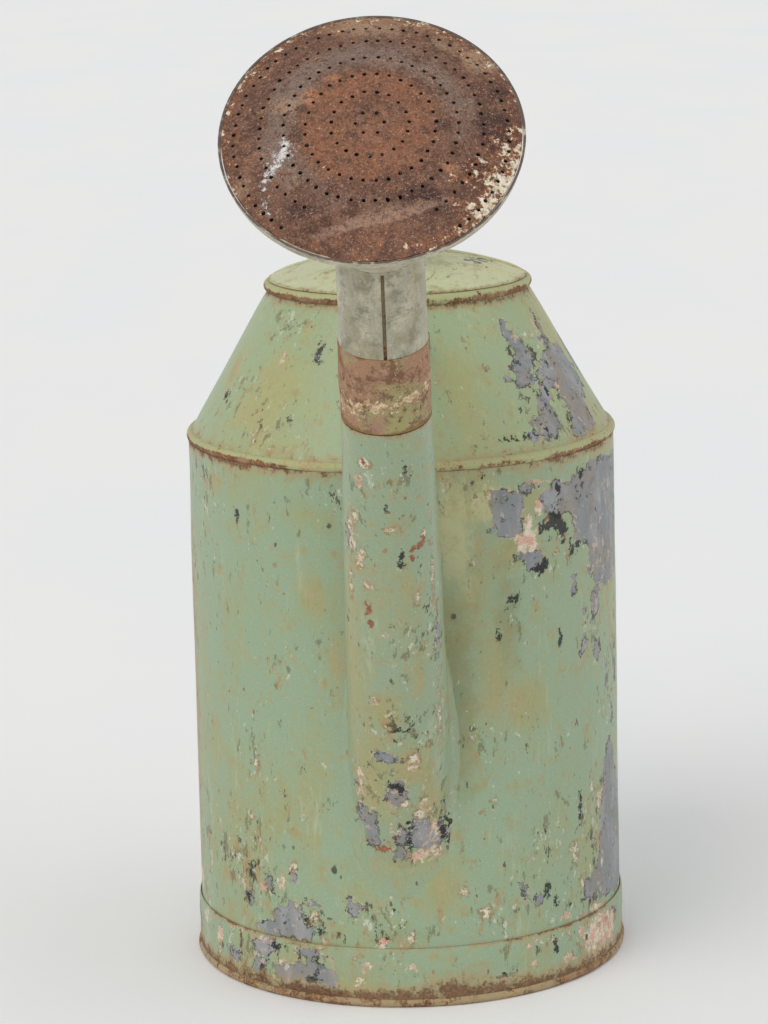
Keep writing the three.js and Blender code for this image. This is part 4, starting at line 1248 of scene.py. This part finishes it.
def paint(name, green, olive, dark, pale=(188, 200, 174), chips=1.0, worn=0.0, gloss=0.42):
    """Old oil paint over galvanised sheet: it has flaked to bare metal, and weathered between."""
    m = Look(name, gloss, shine=0.4)
    cloud, stain = painted_tones(m, green, olive, dark, pale)
    fine = m.noise(1.5, 5, rough=0.75)
    bits = m.noise(2.6, 5, rough=0.74)
    edge = m.noise(10, 5).swing(12) + m.noise(4, 5, rough=0.72).swing(13) + bits.swing(6)
    ragged = m.noise(5, 4).swing(8) + bits.swing(12) + fine.swing(4)
    small = (m.noise(13, 6, stretch=(1, 1, 1.5), rough=0.64) - (0.735 - worn)) * 46 * chips + fine.swing(2)
    bare_mm = (m.inside("bare") + edge).most(small)
    bare = bare_mm.rise(-0.15, 0.25)
    rim = bare_mm.rise(-1.3, -0.3) * m.noise(7, 5).rise(0.52, 0.6)
    pink = (m.inside("pink") + ragged * 0.8).rise(-0.2, 0.35) * m.noise(6, 6, rough=0.72).rise(0.6, 0.53)
    pale_chip = (m.inside("pale") + ragged * 0.7).rise(-0.1, 0.3) * bits.rise(0.57, 0.5)
    black = (m.inside("black") + ragged * 0.8).rise(-0.15, 0.25)

    zinc = m.mix(ZINC, ZINC_PALE, m.noise(11, 5, stretch=(1, 1, 2.5)).rise(0.42, 0.62))
    zinc = m.mix(zinc, (150, 140, 126), m.noise(24, 4).rise(0.48, 0.64) * 0.8)
    zinc = m.mix(zinc, (104, 106, 110), fine.rise(0.52, 0.72) * 0.55)
    zinc = m.mix(zinc, (112, 110, 108), m.noise(7, 6, rough=0.7).rise(0.54, 0.68) * 0.6)
    zinc = m.mix(zinc, (60, 60, 62), m.flecks(6, 0.6) * 0.85)
    zinc = m.mix(zinc, (150, 156, 136), m.flecks(5, 0.62) * 0.8)
    zinc = m.mix(zinc, (196, 178, 166), m.flecks(6, 0.6, m.mark("worn") * 0.03) * 0.75)
    zinc = m.mix(zinc, (196, 194, 190), m.specks(3.4, 0.16, 0.2) * 0.6)
    primer = m.mix(PINK, CREAM, m.noise(5, 5, rough=0.65).rise(0.42, 0.58))
    primer = m.mix(primer, RUST_ORANGE, m.noise(3.4, 5, rough=0.7).rise(0.56, 0.68) * 0.55)
    primer = m.mix(primer, (142, 122, 100), fine.rise(0.54, 0.68) * 0.6)
    flaw = m.mix(CREAM, (178, 152, 116), bits.rise(0.46, 0.58))
    edge_shadow = bare_mm.rise(-0.7, 0.0) * bare_mm.rise(1.6, 0.2) * m.noise(6, 4).rise(0.46, 0.56)

    m.coat(primer, rim * 0.8)
    m.coat(zinc, bare)
    m.coat(BLACK, edge_shadow * 0.85)
    m.coat(primer, pink)
    m.coat(BLACK, black * 0.94)
    # Pale chips; on the band's lapped end the same mark is a painted highlight.
    m.coat((142, 116, 80), (m.inside("pale") + ragged * 0.9).rise(-0.5, -0.1) * 0.65)
    m.coat(flaw, pale_chip)
    chip = (m.inside("chip") + ragged * 0.7).rise(-0.1, 0.3)
    m.coat(m.mix((176, 112, 74), RUST, bits.rise(0.42, 0.56)), chip)
    rust_level = m.mark("rust") + m.noise(9, 6, rough=0.7).swing(2.2) + fine.swing(1.2)
    yellowed = rust_level.rise(0.1, 0.6)
    rusty = rust_level.rise(0.55, 1.0)
    m.coat((170, 148, 106), yellowed * 0.7)
    m.coat(m.mix(RUST, RUST_DARK, fine.rise(0.42, 0.6)), rusty * 0.85)
    height = bare * -0.18 + pink * -0.07 + fine * 0.06 + cloud * 0.12
    height += pale_chip * 0.05 + rusty * fine * 0.25 + black * -0.1
    rough = bare * 0.12 + rusty * 0.35 + fine * 0.16 + stain * 0.12 + pink * 0.15 + (gloss - 0.08)
    return m.finish(height, rough, bare * 0.25)


def rust_bead(name, paint_color, share):
    """Rolled edges: paint on top, and rust come through it, most of it underneath."""
    m = Look(name, 0.8, shine=0.25)
    cloud = m.noise(8, 6, rough=0.7)
    fine = m.noise(1.3, 5, rough=0.75)
    rust = m.mix((146, 106, 76), (98, 70, 52), fine.rise(0.4, 0.62))
    rust = m.mix(rust, RUST_ORANGE, m.noise(4, 5).rise(0.54, 0.7) * 0.6)
    rust = m.mix(rust, (170, 140, 108), m.noise(12, 5, rough=0.7).rise(0.46, 0.64) * 0.7)
    level = cloud.swing(2.6) + m.noise(40, 3).swing(2) + fine.swing(1.2) + m.mark("under") + share
    rusted = level.rise(0.25, 0.6)
    kept = m.mix(paint_color, (186, 164, 116), (cloud + (m.noise(22, 3) - 0.5)).rise(0.44, 0.7) * 0.6)
    kept = m.mix(kept, (150, 120, 82), (fine + cloud.swing(0.6)).rise(0.54, 0.68) * 0.6)
    m.color = m.mix(kept, rust, rusted)
    m.coat((212, 190, 160), m.specks(2.6, 0.1, 0.2) * 0.7)
    m.coat((62, 50, 40), m.flecks(4, 0.63) * 0.8)
    height = fine * 0.16 + cloud * 0.22 - rusted * 0.1
    return m.finish(height, rusted * 0.3 + 0.55)


def zinc_sheet(name, main, pale, dark, crust=0.3, metallic=0.35, gloss=0.45):
    """Bare galvanised sheet gone dull, with a bloom of white corrosion."""
    m = Look(name, gloss, metallic)
    cloud = m.noise(13, 6, rough=0.62)
    fine = m.noise(1.2, 4, rough=0.7)
    m.color = m.mix(main, pale, cloud.rise(0.44, 0.62))
    m.coat(dark, m.noise(5, 5, stretch=(1, 1, 4), rough=0.7).rise(0.52, 0.7) * 0.5)
    m.coat(dark, fine.rise(0.52, 0.7) * 0.5)
    m.coat(dark, (m.noise(8, 6, rough=0.7) + fine * 0.2).rise(0.58, 0.76) * 0.8)
    m.coat((150, 140, 100), m.noise(17, 5).rise(0.5, 0.7) * 0.5)
    m.coat(dark, m.specks(2.2, 0.3, 0.25) * 0.6)
    white = (fine * 0.5 + m.noise(5, 6, rough=0.7) * 0.7).rise(0.72 - crust * 0.2, 0.86 - crust * 0.2)
    m.coat((214, 212, 200), white * 0.7)
    m.coat((222, 222, 214), m.flecks(3.4, 0.655) * 0.85)
    m.coat(dark, m.noise(0.8, 5, stretch=(1, 1, 6), rough=0.75).rise(0.5, 0.7) * 0.45)
    m.coat((96, 78, 70), (m.mark("lip") + m.noise(5, 5, rough=0.7).swing(2) - 0.15).rise(0.3, 0.7))
    height = fine * 0.05 + cloud * 0.08 + white * 0.07
    return m.finish(height, fine * 0.2 + white * 0.2 + (gloss - 0.1))


def rusty_sheet(name):
    """The spout's bare tip: thin paint remains over rust, with pale crust in a line."""
    m = Look(name, 0.75)
    cloud = m.noise(9, 6, rough=0.65, stretch=(1.5, 1, 0.8))
    fine = m.noise(1.3, 4, rough=0.7)
    left = cloud + m.noise(22, 3).swing(0.9) + (m.mark("green") - 0.25) * 0.55 + fine.swing(0.3)
    left = left.rise(0.42, 0.66)
    m.color = m.mix((164, 126, 98), (158, 152, 100), left)
    m.coat((112, 80, 56), m.noise(7, 6, rough=0.72).rise(0.48, 0.6) * 0.85)
    m.coat((186, 156, 130), m.noise(3, 6, rough=0.76).rise(0.54, 0.64) * 0.7)
    m.coat((70, 54, 36), m.flecks(4, 0.6) * 0.8)
    m.coat((160, 122, 104), m.noise(12, 4).rise(0.54, 0.66) * 0.6)
    m.coat((96, 84, 52), m.specks(2.4, 0.25, 0.28) * 0.7)
    crust = (m.mark("crust") + fine.swing(3) + m.noise(4, 5, rough=0.72).swing(5.5)).rise(0.7, 1.0)
    m.coat(m.mix((216, 196, 160), (182, 148, 112), m.noise(1.8, 3).rise(0.4, 0.6)), crust)
    m.coat((60, 46, 34), m.specks(1.8, 0.12, 0.25) * 0.8)
    m.coat((130, 96, 50), (m.mark("edge") + m.noise(5, 4).swing(1.2)).rise(0.4, 0.7) * 0.8)
    height = fine * 0.14 + cloud * 0.12 + crust * 0.2 + left * 0.06
    return m.finish(height, left * -0.15 + 0.85)


def rose_plate_rust(name):
    """The rose's face: rust in rings of different browns, with pale flakes at its lower right, and painted
    shade and a painted highlight along its crease.
    """
    m = Look(name, 0.85, shine=0.25)
    cloud = m.noise(17, 6, rough=0.62)
    patch = m.noise(6.5, 6, rough=0.7)
    grain = m.noise(2.4, 5, rough=0.75)
    fine = m.noise(0.8, 4, rough=0.8)
    ragged = cloud.swing(3.0) + patch.swing(4.0) + grain.swing(2.4)
    m.color = m.mix((98, 69, 57), (136, 99, 80), (patch + grain.swing(0.7)).rise(0.4, 0.6))
    m.coat((136, 118, 108), (m.mark("grey") * 1.2 + ragged).rise(0.3, 1.4) * 0.9)
    m.coat((158, 104, 75), (m.mark("orange") + ragged).rise(0.1, 1.5) * 0.85)
    m.coat((192, 134, 100), (m.mark("bright") + ragged).rise(0.5, 1.3) * 0.8)
    m.coat((176, 146, 118), (m.mark("tan") * 0.9 + ragged).rise(0.3, 1.5) * 0.8)
    # Dark rust spots, and painted shade in a band just above the crease.
    m.coat((70, 50, 48), (m.mark("dark") + ragged).rise(0.4, 1.3) * 0.85)
    # Painted highlight: a pale band just below the crease.
    m.coat((172, 138, 118), (m.mark("painted_crease_highlight") + patch.swing(3) + grain.swing(1.5)).rise(0.3, 1.1) * 0.85)
    m.coat((72, 47, 38), (grain + patch.swing(0.7)).rise(0.51, 0.62) * 0.55)
    m.coat((178, 138, 112), m.noise(2.0, 6, rough=0.8).rise(0.53, 0.66) * 0.65)
    m.coat((50, 33, 29), fine.rise(0.52, 0.64) * 0.6)
    m.coat((204, 178, 156), m.noise(0.9, 5, rough=0.82).rise(0.55, 0.66) * 0.75)
    flake_mm = m.inside("flake") + patch.swing(30) + m.noise(2.6, 6, rough=0.76).swing(34)
    flake = flake_mm.rise(-0.2, 0.9)
    m.coat(m.mix((178, 108, 62), (96, 52, 36), grain.rise(0.45, 0.6)), flake_mm.rise(-3.4, -0.8) * 0.8)
    m.coat(m.mix((232, 224, 204), (196, 174, 142), grain.rise(0.44, 0.6)), flake)
    splash = (m.inside("splash") - 0.2 + m.noise(3, 6, rough=0.78).swing(20)).rise(-0.2, 1.4)
    m.coat(m.mix((228, 224, 220), (162, 150, 144), grain.rise(0.46, 0.6)), splash * 0.95)
    height = fine * 0.25 + grain * 0.4 + patch * 0.5 + flake * 0.2 + splash * 0.15
    return m.finish(height, splash * -0.4 + 0.88)


# Places on the rose's face: spots in mm from its middle, y towards its top.
FACE_ORANGE = [(-4, -50, 30, 11)]
FACE_BRIGHT = [
    (-16, 22, 9, 6), (-26, 13, 6, 7), (33, -22, 10, 5), (6, 1, 5, 4), (26, 60, 10, 5), (12, -34, 18, 4),
]
FACE_TAN = [
    (0, 58, 38, 12), (34, 46, 16, 8), (-34, 10, 10, 7), (46, 38, 14, 12), (-54, -28, 6, 14), (10, 60, 40, 7),
    (58, 24, 5, 16),
]
FACE_DARK = [
    (30, -2, 8, 6), (-6, -31, 22, 4), (-50, 6, 6, 14), (-30, -40, 10, 7), (52, -2, 12, 16), (46, -22, 12, 9),
    (54, 20, 9, 10), (26, -38, 16, 8),
]
FACE_SPLASH = [
    (-35.5, -12, 3, 5), (-38, -17, 3.4, 5), (-41, -22, 2.6, 5), (-43, -29, 1.2, 5), (-43, -36, 0.9, 4),
]


def marked_face(piece):
    def zone(fn):
        """A field from a function of the place on the face in mm, its radius and its angle from the top."""

        def field(co):
            d = (co - CROSS) / MM
            x, y = d[:, 0], d @ HEAD_UP
            return fn(x, y, np.hypot(x, y + 3), np.degrees(np.arctan2(x, y)))

        return field

    def orange(x, y, r, a):
        middle = np.where(r < 26, 1.0, bell(r, 26, 3.5)) - bell(r, 9, 5) * 0.3
        return middle + 0.4 * np.clip(spots(x, y, FACE_ORANGE) / 5, 0, 1)

    def grey(x, y, r, a):
        return bell(r, 39, 9) * (0.8 + 0.4 * np.cos(np.radians(a + 30))) + 0.5 * bell(r, 6, 6)

    # A band along the crease: painted shade above it and a painted highlight below it.
    def painted_crease_shading(x, y, below, wide):
        return bell(crease(x * MM) / MM - y, below, wide)

    # Dark rust spots, and painted shade just above the crease.
    def dark(x, y, r, a):
        return spots(x, y, FACE_DARK) / 4.5 + painted_crease_shading(x, y, -2.6, 3.4) * 1.1 * bell(x, -4, 34)

    def flake(x, y, r, a):
        return bell(a, 121, 24) * 7.5 - (63 - r) * 0.5 - 2.8 + 3.4 * bell(a, 96, 8) * bell(r, 55, 6)

    mark(piece, orange=zone(orange), grey=zone(grey), dark=zone(dark))
    mark(piece, bright=zone(lambda x, y, r, a: spots(x, y, FACE_BRIGHT) / 3.5))
    mark(piece, tan=zone(lambda x, y, r, a: spots(x, y, FACE_TAN) / 4.5))
    # Painted highlight just below the crease.
    mark(piece, painted_crease_highlight=zone(lambda x, y, r, a: painted_crease_shading(x, y, 4.6, 3) * bell(x, 4, 36) * 1.3))
    outlined(piece, flake=zone(flake), splash=zone(lambda x, y, r, a: spots(x, y, FACE_SPLASH)))


def marked_tip(piece):
    def along(fn):
        def field(co):
            a, s = along_spout(co)
            return fn(s, np.degrees(a))

        return field

    mark(
        piece,
        crust=along(lambda s, a: 1.05 * bell(s, 192.5 + a * 0.06, 4.6)),
        green=along(lambda s, a: np.where(s < 191, 0.45, 0.0) * (a > -35) + 0.3 * bell(a, 15, 26)),
        edge=along(lambda s, a: bell(s, 178.5, 1.4) + 0.5 * bell(a, -70, 16)),
    )


# ------------------------------------------------------------------ building it

OLD_GREEN = (148, 168, 138), (158, 160, 114), (118, 132, 100)
CONE_GREEN = (156, 172, 134), (168, 168, 118), (132, 144, 104), (190, 200, 164)
HOOD_GREEN = (196, 200, 158), (202, 196, 148), (170, 170, 126), (214, 216, 184)
SPOUT_GREEN = (147, 165, 136), (160, 159, 114), (110, 120, 92)
COLLAR_GREYS = (170, 166, 145), (194, 188, 162), (126, 122, 102)
ROSE_GREYS = (184, 177, 152), (206, 198, 172), (134, 126, 104)
BASE_GREYS = (120, 122, 120), (150, 150, 142), (84, 82, 76)
wall_paint = paint("weathered_green_wall", *OLD_GREEN)
cone_paint = paint("weathered_green_shoulder", *CONE_GREEN, chips=0.8)
hood_paint = paint("weathered_green_hood", *HOOD_GREEN, chips=0.5)
spout_paint = paint("weathered_green_spout", *SPOUT_GREEN, worn=0.015, gloss=0.3)
handle_paint = paint("weathered_green_handle", *OLD_GREEN, worn=0.05)
bead_rust = rust_bead("rusty_bead", (174, 176, 130), -0.2)
foot_rust = rust_bead("rusty_foot", (166, 146, 112), 0.42)
wire_rust = rust_bead("rusty_wire", (130, 120, 96), 0.5)
tip_rust = rusty_sheet("rusty_spout_tip")
collar_zinc = zinc_sheet("dull_zinc_collar", *COLLAR_GREYS, crust=0.2, metallic=0.15, gloss=0.42)
rose_zinc = zinc_sheet("dull_zinc_rose", *ROSE_GREYS, crust=0.5, metallic=0.12)
base_zinc = zinc_sheet("dull_zinc_base", *BASE_GREYS, crust=0.4)
face_rust = rose_plate_rust("rusty_rose_face")

marked_wall(make_wall(wall_paint))
marked_band(make_foot(wall_paint, foot_rust, base_zinc))
marked_cone(make_shoulder(cone_paint, bead_rust, wire_rust))
marked_hood(make_hood(hood_paint))
for pipe in make_spout(spout_paint, tip_rust):
    marked_pipe(pipe)
marked_tip(bpy.data.objects["tip"])
make_stay(handle_paint, tip_rust)
make_collar(collar_zinc, wire_rust)
marked_face(make_rose(rose_zinc, face_rust))
make_handle(handle_paint, hood_paint)

# ------------------------------------------------------------------ floor, light and camera


def make_floor():
    """A wide round floor. It runs past the top of the picture, so no horizon shows."""
    m = Look("pale_floor", 0.9)
    m.color = m.mix((243, 242, 241), (240, 240, 241), m.noise(160, 3, stretch=(1, 3, 1)).rise(0.3, 0.7))
    m.finish(m.noise(2.5, 3) * 0.1, 0.9)
    a = turns(96)
    rim = np.stack([14 * np.cos(a), 14 * np.sin(a), 0 * a], -1)
    floor = object_from("floor", rim, [tuple(range(96))], 60)
    floor.data.materials.append(m.material)


def sun(name, towards, strength, angle, color):
    """A distant soft light that shines along towards."""
    data = bpy.data.lights.new(name, "SUN")
    data.energy = strength
    data.angle = math.radians(angle)
    data.color = color
    lamp = bpy.data.objects.new(name, data)
    lamp.rotation_euler = Vector(towards).to_track_quat("-Z", "Y").to_euler()
    bpy.context.scene.collection.objects.link(lamp)


def make_camera():
    away, height, side = 1.77057, 0.59908, 0.00463
    pitch, roll, yaw, turn = (math.radians(v) for v in (12.045, -1.299, -0.448, 2.0))
    forward = Vector((math.sin(yaw) * math.cos(pitch), math.cos(yaw) * math.cos(pitch), -math.sin(pitch)))
    right = forward.cross(Vector((0, 0, 1))).normalized()
    up = right.cross(forward)
    right, up = right * math.cos(roll) + up * math.sin(roll), up * math.cos(roll) - right * math.sin(roll)
    basis = Matrix((right, up, -forward)).transposed().to_4x4()
    basis.translation = Vector((side, -away, height))
    data = bpy.data.cameras.new("camera")
    data.sensor_fit = "VERTICAL"
    data.sensor_height = 36
    data.lens = 127.98
    data.clip_start, data.clip_end = 0.05, 30
    camera = bpy.data.objects.new("camera", data)
    camera.matrix_world = Matrix.Translation((0, AXIS_Y, 0)) @ Matrix.Rotation(turn, 4, "Z") @ basis
    bpy.context.scene.collection.objects.link(camera)
    bpy.context.scene.camera = camera


make_floor()
sun("key", (0.55, 0.75, -0.8), 1.1, 40, (1.0, 0.98, 0.945))
sun("fill", (-0.95, 0.2, -0.4), 0.45, 60, (0.92, 0.96, 1.0))
world = bpy.data.worlds.new("studio")
world.use_nodes = True
world.node_tree.nodes["Background"].inputs["Color"].default_value = (0.955, 0.965, 0.975, 1)
# Brighter near the horizon, so that the floor's far edge hardly shows.
nodes, links = world.node_tree.nodes, world.node_tree.links
split, ramp = nodes.new("ShaderNodeSeparateXYZ"), nodes.new("ShaderNodeMapRange")
links.new(nodes.new("ShaderNodeTexCoord").outputs["Generated"], split.inputs[0])
links.new(split.outputs["Z"], ramp.inputs["Value"])
for name, value in {"From Min": 0.0, "From Max": 0.35, "To Min": 0.84, "To Max": 0.655}.items():
    ramp.inputs[name].default_value = value
links.new(ramp.outputs[0], nodes["Background"].inputs["Strength"])
bpy.context.scene.world = world
bpy.context.scene.view_settings.view_transform = "Standard"
make_camera()
